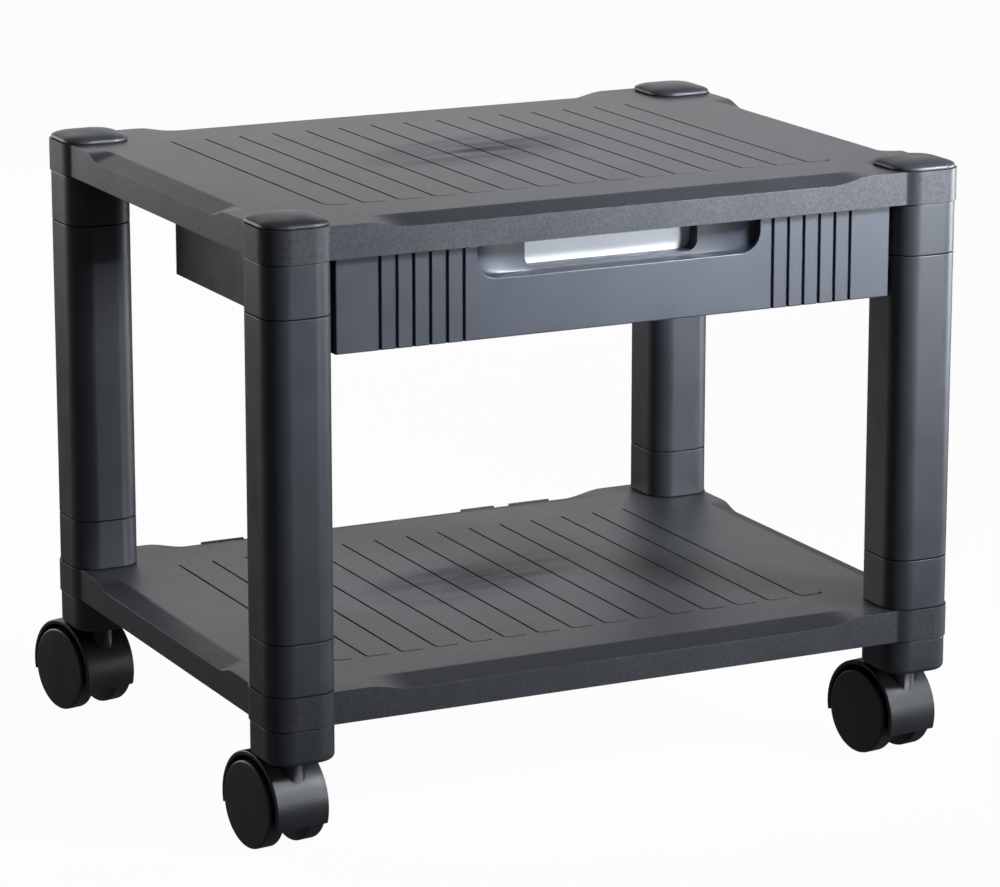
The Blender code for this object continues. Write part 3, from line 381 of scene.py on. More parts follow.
def pick(obj, mode, wanted):
    """Enter edit mode with only the vertices, edges or faces selected that pass a test."""
    activate(obj)
    bpy.ops.object.mode_set(mode="EDIT")
    bpy.ops.mesh.select_mode(type=mode)
    bpy.ops.mesh.select_all(action="DESELECT")
    mesh = bmesh.from_edit_mesh(obj.data)
    mesh.normal_update()
    group = {"VERT": mesh.verts, "EDGE": mesh.edges, "FACE": mesh.faces}[mode]
    chosen = [part for part in group if wanted(part)]
    if not chosen:
        raise RuntimeError(f"nothing to select on {obj.name}")
    for part in chosen:
        part.select_set(True)
    mesh.select_flush_mode()
    bmesh.update_edit_mesh(obj.data)


def leave():
    """Back to object mode."""
    bpy.ops.object.mode_set(mode="OBJECT")


def near(value, place, slack=SAME_PLACE):
    """True where two lengths agree."""
    return abs(value - place) < slack


def upright(edge):
    """True for an edge that runs along Z."""
    run = edge.verts[1].co - edge.verts[0].co
    return abs(run.z) > 0.999 * run.length


def faces_like(axis, sign, place=None):
    """Test for faces that look along an axis, at one place on it."""
    def test(face):
        looks = face.normal[axis] * sign > 0.99
        return looks and (place is None or near(face.calc_center_median()[axis], place))
    return test


def border_of(axis, sign, place=None):
    """Test for the edges between the faces that look along an axis and their neighbours."""
    face_test = faces_like(axis, sign, place)

    def test(edge):
        return len(edge.link_faces) == 2 and sum(face_test(face) for face in edge.link_faces) == 1
    return test


def soften(obj, wanted, width, segments=3):
    """Round the edges that pass a test."""
    pick(obj, "EDGE", wanted)
    bpy.ops.mesh.bevel(offset=width, segments=segments, affect="EDGES", clamp_overlap=True)
    leave()
    return obj


def spin(steps, angle, centre, axis):
    """Spin the selected face about an axis, by the right-hand rule."""
    bpy.ops.mesh.spin(steps=steps, dupli=False, angle=-angle, center=centre, axis=axis)


def cut(obj, *cutters, operation="DIFFERENCE"):
    """Apply an exact Boolean with each cutter, and drop the cutters."""
    for cutter in cutters:
        activate(obj)
        modifier = obj.modifiers.new("cut", "BOOLEAN")
        modifier.operation = operation
        modifier.solver = "EXACT"
        modifier.object = cutter
        bpy.ops.object.modifier_apply(modifier=modifier.name)
        bpy.data.objects.remove(cutter)
    return obj


def add(obj, *pieces):
    """Unite pieces with an object."""
    return cut(obj, *pieces, operation="UNION")


def joined(objects):
    """Join objects into the first one."""
    activate(*objects)
    bpy.ops.object.join()
    return objects[0]


def copy_of(obj, name, move=(0, 0, 0), turn=0.0, mirror=None):
    """A copy with its own mesh, turned about Z, mirrored and moved."""
    activate(obj)
    bpy.ops.object.duplicate(linked=False)
    piece = bpy.context.view_layer.objects.active
    piece.name = name
    piece.data.name = name
    piece.matrix_world = Matrix.Translation(move) @ Matrix.Rotation(turn, 4, "Z")
    if mirror is not None:
        piece.matrix_world = piece.matrix_world @ Matrix.Diagonal((*mirror, 1))
    apply_place(piece)
    if mirror is not None and mirror[0] * mirror[1] * mirror[2] < 0:
        activate(piece)
        bpy.ops.object.mode_set(mode="EDIT")
        bpy.ops.mesh.select_all(action="SELECT")
        bpy.ops.mesh.normals_make_consistent(inside=False)
        leave()
    return piece


def shade(obj, angle=math.radians(32)):
    """Smooth shading that keeps the sharp edges, with the large faces kept flat."""
    activate(obj)
    bpy.ops.object.shade_smooth_by_angle(angle=angle)
    modifier = obj.modifiers.new("flat faces", "WEIGHTED_NORMAL")
    modifier.keep_sharp = True
    modifier.weight = 80
    bpy.ops.object.modifier_apply(modifier=modifier.name)
    return obj


def clean(obj):
    """Merge doubled points and point all faces outwards."""
    activate(obj)
    bpy.ops.object.mode_set(mode="EDIT")
    bpy.ops.mesh.select_all(action="SELECT")
    bpy.ops.mesh.remove_doubles(threshold=MERGE)
    bpy.ops.mesh.normals_make_consistent(inside=False)
    leave()
    return obj


def settle(obj, body, slot, material, *nodes):
    """Finish a piece: its material, the body that it rides on and the nodes that it stands for."""
    obj.data.materials.clear()
    obj.data.materials.append(material)
    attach(obj, body)
    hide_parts(*nodes)
    return obj


def rounded_block(name, low, high, radius, segments=10):
    """Box with four rounded upright edges."""
    obj = block(name, low, high)
    return soften(obj, upright, radius, segments)


# ---------------------------------------------------------------- finishes
def link(tree, source, output, target, entry):
    """Join a node's output to another node's input."""
    tree.links.new(source.outputs[output], target.inputs[entry])


def noise(tree, coordinates, scale, detail=2.0, stretch=(1, 1, 1)):
    """Noise on Object coordinates, stretched along the axes."""
    mapping = tree.nodes.new("ShaderNodeMapping")
    mapping.inputs["Scale"].default_value = stretch
    texture = tree.nodes.new("ShaderNodeTexNoise")
    texture.inputs["Scale"].default_value = scale
    texture.inputs["Detail"].default_value = detail
    link(tree, coordinates, "Object", mapping, "Vector")
    link(tree, mapping, "Vector", texture, "Vector")
    return texture


def spread(tree, source, low, high):
    """Map a noise's middle range to two values."""
    remap = tree.nodes.new("ShaderNodeMapRange")
    remap.inputs["From Min"].default_value = 0.3
    remap.inputs["From Max"].default_value = 0.7
    remap.inputs["To Min"].default_value = low
    remap.inputs["To Max"].default_value = high
    link(tree, source, "Fac", remap, "Value")
    return remap


def tinted(tree, colour, factor_node, amount):
    """Colour that swings by an amount with a factor."""
    mix = tree.nodes.new("ShaderNodeMix")
    mix.data_type = "RGBA"
    mix.inputs["A"].default_value = (*[c * (1 - amount) for c in colour], 1)
    mix.inputs["B"].default_value = (*[c * (1 + amount) for c in colour], 1)
    tree.links.new(factor_node.outputs[0], mix.inputs["Factor"])
    return mix


def moulded_plastic(name, colour, roughness=0.42, grain=1400, grain_depth=0.00002, tint=0.10):
    """Injection-moulded plastic: fine grain, slow colour drift and uneven gloss."""
    material = bpy.data.materials.new(name)
    material.use_nodes = True
    tree = material.node_tree
    shader = tree.nodes["Principled BSDF"]
    coordinates = tree.nodes.new("ShaderNodeTexCoord")
    drift = spread(tree, noise(tree, coordinates, scale=22, detail=3), 0.0, 1.0)
    mix = tinted(tree, colour, drift, tint)
    tree.links.new(mix.outputs["Result"], shader.inputs["Base Color"])
    patches = noise(tree, coordinates, scale=60, detail=4)
    gloss = spread(tree, patches, roughness - 0.05, roughness + 0.06)
    link(tree, gloss, "Result", shader, "Roughness")
    bump = tree.nodes.new("ShaderNodeBump")
    bump.inputs["Strength"].default_value = 0.6
    bump.inputs["Distance"].default_value = grain_depth
    link(tree, noise(tree, coordinates, scale=grain), "Fac", bump, "Height")
    link(tree, bump, "Normal", shader, "Normal")
    return material


def product(tree, first, second):
    """Product of two results."""
    node = tree.nodes.new("ShaderNodeMath")
    node.operation = "MULTIPLY"
    tree.links.new(first, node.inputs[0])
    tree.links.new(second, node.inputs[1])
    return node.outputs[0]


def between(tree, factor, start, end):
    """Value that goes from start to end with a factor from 0 to 1."""
    remap = tree.nodes.new("ShaderNodeMapRange")
    remap.inputs["To Min"].default_value = start
    remap.inputs["To Max"].default_value = end
    tree.links.new(factor, remap.inputs["Value"])
    return remap.outputs["Result"]


def middle_mark(tree, coordinates, middle):
    """Streaky oval that fades out from 1 at the middle of the deck, lying a little askew."""
    mapping = tree.nodes.new("ShaderNodeMapping")
    mapping.vector_type = "TEXTURE"
    mapping.inputs["Location"].default_value = (middle.x - 0.01, middle.y + 0.01, 0)
    mapping.inputs["Rotation"].default_value = (0, 0, 0.25)
    mapping.inputs["Scale"].default_value = (0.085, 0.045, 1000)
    ball = tree.nodes.new("ShaderNodeTexGradient")
    ball.gradient_type = "SPHERICAL"
    link(tree, coordinates, "Object", mapping, "Vector")
    link(tree, mapping, "Vector", ball, "Vector")
    streaks = spread(tree, noise(tree, coordinates, 34, 5, stretch=(0.45, 2.4, 1)), 0.0, 1.4)
    return product(tree, ball.outputs["Fac"], streaks.outputs["Result"])


def deck_plastic(name, colour, middle):
    """Shelf plastic, darker and less glossy in a streaky patch round the middle of the deck."""
    material = moulded_plastic(name, colour, roughness=0.46, grain=1100, grain_depth=0.00004)
    tree = material.node_tree
    shader = tree.nodes["Principled BSDF"]
    base = shader.inputs["Base Color"].links[0].from_socket
    coordinates = tree.nodes.new("ShaderNodeTexCoord")
    mark = middle_mark(tree, coordinates, middle)
    darker = tree.nodes.new("ShaderNodeMix")
    darker.data_type = "RGBA"
    darker.inputs["B"].default_value = (*[c * 0.5 for c in colour], 1)
    tree.links.new(base, darker.inputs["A"])
    tree.links.new(mark, darker.inputs["Factor"])
    link(tree, darker, "Result", shader, "Base Color")
    cloud = spread(tree, noise(tree, coordinates, 26, 5, stretch=(0.8, 1.3, 1)), 0.42, 0.56)
    speck = spread(tree, noise(tree, coordinates, scale=600), 0.70, 1.22)
    sheen = product(tree, cloud.outputs["Result"], speck.outputs["Result"])
    sheen = product(tree, sheen, between(tree, mark, 1.0, 0.3))
    tree.links.new(sheen, shader.inputs["Specular IOR Level"])
    tree.links.new(between(tree, mark, 0.44, 0.60), shader.inputs["Roughness"])
    return material


def plated_steel(name, colour):
    """Zinc-plated steel with turning marks."""
    material = moulded_plastic(name, colour, roughness=0.34, grain=300, grain_depth=0.00003, tint=0.12)
    shader = material.node_tree.nodes["Principled BSDF"]
    shader.inputs["Metallic"].default_value = 1.0
    return material


def finishes():
    """All finishes of the stand by their slot, made once."""
    colours = bpy.context.scene.stand_colours
    makers = {
        "shelf_black": lambda name: deck_plastic(name, colours.shelf, node_box("upper_shelf")[2]),
        "post_black": lambda name: moulded_plastic(name, colours.post),
        "cap_black": lambda name: moulded_plastic(name, colours.cap, roughness=0.46),
        "drawer_black": lambda name: moulded_plastic(name, colours.drawer, roughness=0.38, tint=0.07),
        "caster_black": lambda name: moulded_plastic(name, colours.caster, roughness=0.40),
        "tray_grey": lambda name: moulded_plastic(name, colours.tray, roughness=0.5, tint=0.03),
        "zinc_steel": lambda name: plated_steel(name, colours.steel),
    }
    made = {}
    for slot, maker in makers.items():
        name = f"{slot}_finish"
        made[slot] = bpy.data.materials.get(name) or maker(name)
    return made


# ---------------------------------------------------------------- shelves
def smooth_step(value, start, end):
    """Smooth rise from 0 at start to 1 at end."""
    t = min(max((value - start) / (end - start), 0.0), 1.0)
    return t * t * (3 - 2 * t)


def band_slope(distance, width, crease):
    """Share of the edge drop at a distance out from a band's inner line, with a soft bend there."""
    if distance < -crease:
        return 0.0
    if distance < crease:
        return (distance + crease) ** 2 / (4 * crease * width)
    return min(distance / width, 1.0)


class DeckShape:
    """Heights and cutting lines of a shelf's upper face."""

    def __init__(self, sizes, low, high):
        self.middle = (low + high) / 2
        half = (high - low) / 2
        self.skirt = (half.x - sizes.skirt_inset, half.y - sizes.skirt_inset)
        self.band = (sizes.side_band, sizes.front_band)
        self.rise = (tuple(sizes.front_rise), tuple(sizes.side_rise))
        self.crease = sizes.crease
        self.drop = sizes.edge_drop

    def lines(self, axis, steps=8):
        """Cutting lines on one side of the middle."""
        inner = self.skirt[axis] - self.band[axis]
        start, end = self.rise[axis]
        rise = [start + (end - start) * step / steps for step in range(steps + 1)]
        return sorted([inner - self.crease, inner, inner + self.crease] + rise)

    def fall(self, x, y):
        """How far the upper face lies under the deck level."""
        across = abs(x - self.middle.x)
        along = abs(y - self.middle.y)
        side = band_slope(across - self.skirt[0] + self.band[0], self.band[0], self.crease)
        front = band_slope(along - self.skirt[1] + self.band[1], self.band[1], self.crease)
        side *= 1 - smooth_step(along, *self.rise[1])
        front *= 1 - smooth_step(across, *self.rise[0])
        return self.drop * max(side, front)


def shelf_plan(sizes, low, high):
    """Solid with the shelf's plan: skirt block, four rounded collars and the fillets between them."""
    middle = (low + high) / 2
    half = (high - low) / 2
    inset = Vector((sizes.skirt_inset, sizes.skirt_inset, 0))
    over = Vector((0, 0, OVERSHOOT))
    size = Vector((*sizes.collar_size, 0))
    radius = sizes.collar_radius
    trim = Vector((radius, 0, 0))
    body = block("shelf", low + inset + trim - over * 1.5, high - inset - trim + over * 1.5)
    trim = Vector((0, radius, 0))
    add(body, block("sides", low + inset + trim - over * 1.4, high - inset - trim + over * 1.4))
    hx = size.x / 2 - radius
    hy = size.y / 2 - radius
    column = half - size / 2
    across = radius - sizes.skirt_inset + sizes.fillet
    along = math.sqrt((radius + sizes.fillet) ** 2 - across ** 2)
    lean = math.atan2(along, across)
    touch = radius * math.cos(lean)
    slide = radius * math.sin(lean)
    collars, wedges, rounds = [], [], []
    for sx, sy in CORNERS.values():
        centre = Vector((middle.x + sx * column.x, middle.y + sy * column.y, middle.z))
        reach = Vector((size.x / 2, size.y / 2, half.z))
        collars.append(rounded_block("collar", centre - reach - over, centre + reach + over, radius))
        for turned in (False, True):
            a = Vector((hx + touch, -(hy + slide - WEDGE_LAP)))
            b = Vector((hx + across - sizes.fillet - WEDGE_LAP, -(hy + along)))
            c = Vector((hx + across, -(hy + along)))
            if turned:
                a = Vector((-(hx + slide - WEDGE_LAP), hy + touch))
                b = Vector((-(hx + along), hy + across - sizes.fillet - WEDGE_LAP))
                c = Vector((-(hx + along), hy + across))
            near_point = Vector((centre.x + sx * a.x, centre.y + sy * a.y))
            far_point = Vector((centre.x + sx * b.x, centre.y + sy * b.y))
            base = Vector((min(near_point.x, far_point.x), min(near_point.y, far_point.y), low.z))
            crown = Vector((max(near_point.x, far_point.x), max(near_point.y, far_point.y), high.z))
            wedges.append(block("wedge", base - over * 0.8, crown + over * 0.8))
            foot = Vector((centre.x + sx * c.x, centre.y + sy * c.y, low.z - 2 * OVERSHOOT))
            rise = Vector((0, 0, high.z - low.z + 4 * OVERSHOOT))
            rounds.append(rod("round", foot, foot + rise, sizes.fillet))
    add(body, joined(collars), joined(wedges))
    cut(body, joined(rounds))
    slab_low = (low.x - OVERSHOOT, low.y - OVERSHOOT, low.z)
    slab_high = (high.x + OVERSHOOT, high.y + OVERSHOOT, high.z)
    cut(body, block("slab", slab_low, slab_high), operation="INTERSECT")
    return clean(body)


def shape_deck(obj, shape, top):
    """Slice the upper face along its cutting lines and lower its edges into smooth bands."""
    activate(obj)
    bpy.ops.object.mode_set(mode="EDIT")
    for axis in (0, 1):
        normal = [0, 0, 0]
        normal[axis] = 1
        for line in shape.lines(axis):
            for side in (-1, 1):
                place = Vector(shape.middle)
                place[axis] += side * line
                bpy.ops.mesh.select_all(action="SELECT")
                bpy.ops.mesh.bisect(plane_co=place, plane_no=normal, threshold=SLICE)
    leave()
    falls = {}
    for vertex in obj.data.vertices:
        if near(vertex.co.z, top):
            fall = round(shape.fall(vertex.co.x, vertex.co.y), 7)
            falls.setdefault(fall, set()).add(vertex.index)
    for fall, indices in falls.items():
        if fall > 0:
            pick(obj, "VERT", lambda vertex: vertex.index in indices)
            bpy.ops.transform.translate(value=(0, 0, -fall))
            leave()


def groove_cutter(sizes, shape, top, index):
    """One groove: a straight run that turns into a short foot. The last one curls on a little."""
    last = sizes.groove_count - 1
    kind = {0: 0, last: 2}.get(index, 1)
    bend = sizes.groove_bends[kind]
    hook = sizes.groove_hooks[kind]
    x = shape.middle.x + sizes.groove_first + index * sizes.groove_pitch
    front = shape.middle.y + sizes.groove_ends[0]
    half = sizes.groove_width / 2
    low = (x - half, front + bend, top - sizes.groove_depth)
    high = (x + half, shape.middle.y + sizes.groove_ends[1], top + OVERSHOOT)
    groove = block("groove", low, high)
    pick(groove, "FACE", faces_like(1, -1))
    spin(6, HALF_PI, (x + bend, front + bend, 0), (0, 0, 1))
    leave()
    pick(groove, "FACE", lambda face: face.normal.x > 0.99 and near(face.calc_center_median().x, x + bend))
    bpy.ops.mesh.extrude_region_move(TRANSFORM_OT_translate={"value": (hook - bend, 0, 0)})
    leave()
    if index == last:
        tip = x + hook
        pick(groove, "FACE", lambda face: face.normal.x > 0.99 and near(face.calc_center_median().x, tip))
        spin(5, 1.2, (tip, front + bend, 0), (0, 0, 1))
        leave()
    return clean(groove)


def pocket_cutter(sizes, shape, low, high):
    """The pockets between the ribs under the deck, with the shallow pan below them."""
    inner = (shape.skirt[0] - POCKET_WALL, shape.skirt[1] - POCKET_WALL)
    pitch = [2 * inner[axis] / POCKETS[axis] for axis in (0, 1)]
    roof = high.z - sizes.plate
    pockets = []
    for column in range(POCKETS[0]):
        for row in range(POCKETS[1]):
            left = shape.middle.x - inner[0] + column * pitch[0] + sizes.rib / 2
            front = shape.middle.y - inner[1] + row * pitch[1] + sizes.rib / 2
            right = left + pitch[0] - sizes.rib
            back = front + pitch[1] - sizes.rib
            pockets.append(block("pocket", (left, front, low.z + sizes.rib_setback), (right, back, roof)))
    net = soften(joined(pockets), upright, POCKET_ROUND, 3)
    reach = Vector((inner[0], inner[1], 0))
    pan_low = Vector((shape.middle.x, shape.middle.y, low.z - OVERSHOOT)) - reach
    pan_roof = low.z + sizes.rib_setback + PAN_LAP
    pan_high = Vector((shape.middle.x, shape.middle.y, pan_roof)) + reach
    add(net, block("pan", pan_low, pan_high))
    return net


def collar_blocks(sizes, low, high, inset, name):
    """Four rounded blocks on the collars, smaller by an inset."""
    size = Vector((*sizes.collar_size, 0))
    blocks = []
    for sx, sy in CORNERS.values():
        x = low.x + size.x / 2 if sx < 0 else high.x - size.x / 2
        y = low.y + size.y / 2 if sy < 0 else high.y - size.y / 2
        start = (x - size.x / 2 + inset, y - size.y / 2 + inset, low.z - 2 * OVERSHOOT)
        end = (x + size.x / 2 - inset, y + size.y / 2 - inset, high.z + 2 * OVERSHOOT)
        blocks.append(rounded_block(name, start, end, sizes.collar_radius - inset))
    return joined(blocks)


def outline_edge(edge):
    """True for the outline's upper edge, between the upper faces and the sides."""
    if len(edge.link_faces) != 2:
        return False
    slopes = sorted(face.normal.z for face in edge.link_faces)
    return slopes[1] > 0.7 and abs(slopes[0]) < 0.1


class StandShelves(bpy.types.Operator):
    """Model the two shelves: shaped deck, skirt, collars, pockets and grooves"""
    bl_idname = "stand.shelves"
    bl_label = "Shelves"

    def execute(self, context):
        sizes = context.scene.stand_shelf
        low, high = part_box("upper_shelf")
        shape = DeckShape(sizes, low, high)
        shelf = shelf_plan(sizes, low, high)
        soften(shelf, border_of(2, -1, low.z), SHELF_ROUND, 2)
        shape_deck(shelf, shape, high.z)
        soften(shelf, outline_edge, sizes.top_edge, 3)
        pockets = pocket_cutter(sizes, shape, low, high)
        cut(pockets, collar_blocks(sizes, low, high, 0.0, "keep"))
        cut(shelf, pockets, collar_blocks(sizes, low, high, sizes.bore_inset, "bore"))
        grooves = [groove_cutter(sizes, shape, high.z, index) for index in range(sizes.groove_count)]
        cut(shelf, joined(grooves))
        shade(shelf)
        shelf.name = "printer_shelf"
        shelf.data.name = shelf.name
        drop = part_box("lower_shelf")[1].z - high.z
        lower = copy_of(shelf, "paper_shelf", (0, 0, drop))
        materials = finishes()
        settle(shelf, "stand", "shelf_black", materials["shelf_black"], "upper_shelf")
        settle(lower, "stand", "shelf_black", materials["shelf_black"], "lower_shelf")
        return {"FINISHED"}


# ---------------------------------------------------------------- columns
def tunnel(obj, wall):
    """Open a block from end to end, with a wall left round the hole."""
    low, high = object_span(obj, 2)

    def end_face(face):
        middle = face.calc_center_median().z
        return abs(face.normal.z) > 0.99 and (near(middle, low) or near(middle, high))

    pick(obj, "FACE", end_face)
    bpy.ops.mesh.inset(thickness=wall, depth=0)
    bpy.ops.mesh.bridge_edge_loops()
    leave()
    return obj


def object_span(obj, axis):
    """Lowest and highest place of a mesh along an axis."""
    places = [vertex.co[axis] for vertex in obj.data.vertices]
    return min(places), max(places)


def grow(obj, sign, inset, length):
    """Inset the end face of a block and draw it out into a spigot."""
    low, high = object_span(obj, 2)
    pick(obj, "FACE", faces_like(2, sign, high if sign > 0 else low))
    bpy.ops.mesh.inset(thickness=inset, depth=0)
    bpy.ops.mesh.extrude_region_move(TRANSFORM_OT_translate={"value": (0, 0, sign * length)})
    leave()
    return obj


def ring_piece(sizes, name, low, high, below, above):
    """Connector ring with a spigot at both ends."""
    ring = rounded_block(name, low, high, sizes.radius)
    soften(ring, border_of(2, 1), sizes.rim, 2)
    soften(ring, border_of(2, -1), sizes.rim, 2)
    inset = sizes.wall + GAP - sizes.rim
    grow(ring, 1, inset, above)
    grow(ring, -1, inset, below)
    tunnel(ring, sizes.spigot_wall)
    return shade(ring)


class StandPosts(bpy.types.Operator):
    """Model the four hollow posts"""
    bl_idname = "stand.posts"
    bl_label = "Posts"

    def execute(self, context):
        sizes = context.scene.stand_columns
        low, high, middle = node_box("post_front_left")
        post = rounded_block("post", low, high, sizes.radius)
        soften(post, border_of(2, 1), sizes.rim, 2)
        soften(post, border_of(2, -1), sizes.rim, 2)
        tunnel(post, sizes.wall - sizes.rim)
        shade(post)
        material = finishes()["post_black"]
        for corner in CORNERS:
            move = node_box(f"post_{corner}")[2] - middle
            piece = copy_of(post, f"post_tube_{corner}", move)
            settle(piece, "stand", "post_black", material, f"post_{corner}")
        bpy.data.objects.remove(post)
        return {"FINISHED"}


class StandRings(bpy.types.Operator):
    """Model the eight connector rings between posts and shelves"""
    bl_idname = "stand.rings"
    bl_label = "Connector rings"

    def execute(self, context):
        sizes = context.scene.stand_columns
        post_low, post_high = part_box("post_front_left")
        box_low, box_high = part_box("lower_connector_front_left")
        shelf_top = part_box("lower_shelf")[1].z
        low = Vector((post_low.x, post_low.y, shelf_top + GAP / 2 + sizes.reveal))
        high = Vector((post_high.x, post_high.y, post_low.z - GAP - sizes.reveal))
        ring = ring_piece(sizes, "ring", low, high, low.z - box_low.z, box_high.z - high.z)
        middle = (box_low + box_high) / 2
        material = finishes()["post_black"]
        for level, flip in (("lower", 1), ("upper", -1)):
            for corner in CORNERS:
                node = f"{level}_connector_{corner}"
                place = node_box(node)[2]
                move = Vector((place.x - middle.x, place.y - middle.y, place.z - flip * middle.z))
                piece = copy_of(ring, f"{level}_ring_{corner}", move, mirror=(1, 1, flip))
                settle(shade(piece), "stand", "post_black", material, node)
        bpy.data.objects.remove(ring)
        return {"FINISHED"}


def cap_dome(cap, top, crown):
    """Draw the cap's top face up into a lens-shaped dome."""
    middle = node_box("corner_cap_front_left")[2]
    height, share = 0.0, 1.0
    for step in range(1, DOME_STEPS + 1):
        turn = HALF_PI * step / (DOME_STEPS + 0.6)
        rise = (crown - top) * math.sin(turn)
        shrink = math.cos(turn)
        pick(cap, "FACE", faces_like(2, 1, top + height))
        bpy.ops.mesh.extrude_region_move(TRANSFORM_OT_translate={"value": (0, 0, rise - height)})
        ratio = shrink / share
        bpy.ops.transform.resize(value=(ratio, ratio, 1), center_override=(middle.x, middle.y, top + rise))
        leave()
        height, share = rise, shrink


class StandCaps(bpy.types.Operator):
    """Model the four domed corner caps"""
    bl_idname = "stand.caps"
    bl_label = "Corner caps"

    def execute(self, context):
        sizes = context.scene.stand_columns
        shelf = context.scene.stand_shelf
        low, high, middle = node_box("corner_cap_front_left")
        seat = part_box("upper_shelf")[1].z + GAP
        start = Vector((low.x, low.y, seat))
        end = Vector((high.x, high.y, seat + sizes.cap_rim))
        cap = rounded_block("cap", start, end, shelf.collar_radius - sizes.cap_inset, 12)
        soften(cap, border_of(2, -1), sizes.rim / 2, 2)
        plug_inset = shelf.bore_inset + GAP - sizes.cap_inset - sizes.rim / 2
        grow(cap, -1, plug_inset, seat - low.z)
        cap_dome(cap, seat + sizes.cap_rim, high.z)
        shade(cap, math.radians(50))
        material = finishes()["cap_black"]
        for corner in CORNERS:
            node = f"corner_cap_{corner}"
            piece = copy_of(cap, f"cap_{corner}", node_box(node)[2] - middle)
            settle(piece, "stand", "cap_black", material, node)
        bpy.data.objects.remove(cap)
        return {"FINISHED"}


class StandFeet(bpy.types.Operator):
    """Model the four corner feet with their stem sockets"""
    bl_idname = "stand.feet"
    bl_label = "Feet"

    def execute(self, context):
        sizes = context.scene.stand_columns
        low, high, middle = node_box("foot_front_left")
        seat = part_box("lower_shelf")[0].z - GAP
        foot = rounded_block("foot", low, (high.x, high.y, seat - sizes.reveal), sizes.radius)
        soften(foot, border_of(2, 1), sizes.rim, 2)
        soften(foot, border_of(2, -1), sizes.foot_round, FOOT_ROUND_STEPS)
        shelf_socket = sizes.wall + GAP - sizes.rim
        grow(foot, 1, shelf_socket, FOOT_SPIGOT)
        stem_low, stem_high, stem = node_box("caster_stem_front_left")
        radius = (stem_high.x - stem_low.x) / 2 + GAP
        top = Vector((stem.x, stem.y, stem_high.z + GAP))
        cut(foot, rod("socket", (stem.x, stem.y, low.z - OVERSHOOT), top, radius))
        shade(foot)
        material = finishes()["post_black"]
        for corner in CORNERS:
            node = f"foot_{corner}"
            piece = copy_of(foot, f"corner_foot_{corner}", node_box(node)[2] - middle)
            settle(piece, "stand", "post_black", material, node)
        bpy.data.objects.remove(foot)
        return {"FINISHED"}


# ---------------------------------------------------------------- casters
def caster_place(corner):
    """Foot of the swivel axis, the yaw of the caster and its trail and axle height."""
    swivel = Vector(joint_named(f"swivel_{corner}")["pos_m"])
    spin = joint_named(f"spin_left_{corner}")
    axle = Vector(spin["pos_m"])
    yaw = math.atan2(spin["axis"][1], spin["axis"][0])
    trail = Vector((axle.x - swivel.x, axle.y - swivel.y)).length
    return Vector((swivel.x, swivel.y, 0)), yaw, trail, axle.z


def hood_shell(sizes, trail, height):
    """The curved shell of the hood, spun about the axle."""
    reach = sizes.hood_radius - sizes.hood_wall / 2
    start = sizes.hood_back
    sweep = sizes.hood_front - start
    centre = (0, trail + reach, height)
    deselect_all()
    bpy.ops.mesh.primitive_plane_add(size=1.0, location=centre)
    shell = named("hood")
    activate(shell)
    bpy.ops.object.mode_set(mode="EDIT")
    bpy.ops.mesh.select_all(action="SELECT")
    bpy.ops.transform.resize(value=(sizes.hood_width, sizes.hood_wall, 1), center_override=centre)
    bpy.ops.mesh.bevel(offset=sizes.hood_wall * HOOD_ROUND, segments=3, affect="VERTICES")
    leave()
    shell.matrix_world = (
        Matrix.Translation((0, trail, height)) @ Matrix.Rotation(start, 4, "X")
        @ Matrix.Translation((0, -trail, -height)))
    apply_place(shell)
    activate(shell)
    bpy.ops.object.mode_set(mode="EDIT")
    bpy.ops.mesh.select_all(action="SELECT")
    spin(HOOD_STEPS, sweep, (0, trail, height), (1, 0, 0))
    leave()
    return clean(shell)


def hood_web(sizes, trail, height):
    """The block between the wheels, under the shell."""
    web = rod("web", (-sizes.web / 2, trail, height), (sizes.web / 2, trail, height),
              sizes.hood_radius - sizes.hood_wall / 2, 64)
    trim_low = (-sizes.web, trail - 2 * sizes.hood_radius, -OVERSHOOT)
    trim_high = (sizes.web, trail + 2 * sizes.hood_radius, height - WEB_DROP)
    cut(web, block("trim", trim_low, trim_high))
    return web


def hood_piece(sizes, corner, trail, height):
    """Caster hood with its swivel axis on Z: shell, web, stem boss and bores."""
    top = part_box(f"caster_hood_{corner}")[1].z
    stem_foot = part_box(f"caster_stem_{corner}")[0].z
    axle_low, axle_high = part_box(f"caster_axle_{corner}")
    shell = hood_shell(sizes, trail, height)
    add(shell, hood_web(sizes, trail, height))
    add(shell, rod("boss", (0, 0, stem_foot - BOSS_DROP), (0, 0, top), sizes.boss_radius))
    cut(shell, rod("pin", (0, 0, stem_foot - GAP), (0, 0, top + OVERSHOOT), STEM_RADIUS + GAP))
    bore = (axle_high.z - axle_low.z) / 2 + GAP
    reach = sizes.hood_width
    cut(shell, rod("axle", (-reach, trail, height), (reach, trail, height), bore))
    return shade(shell, math.radians(40))


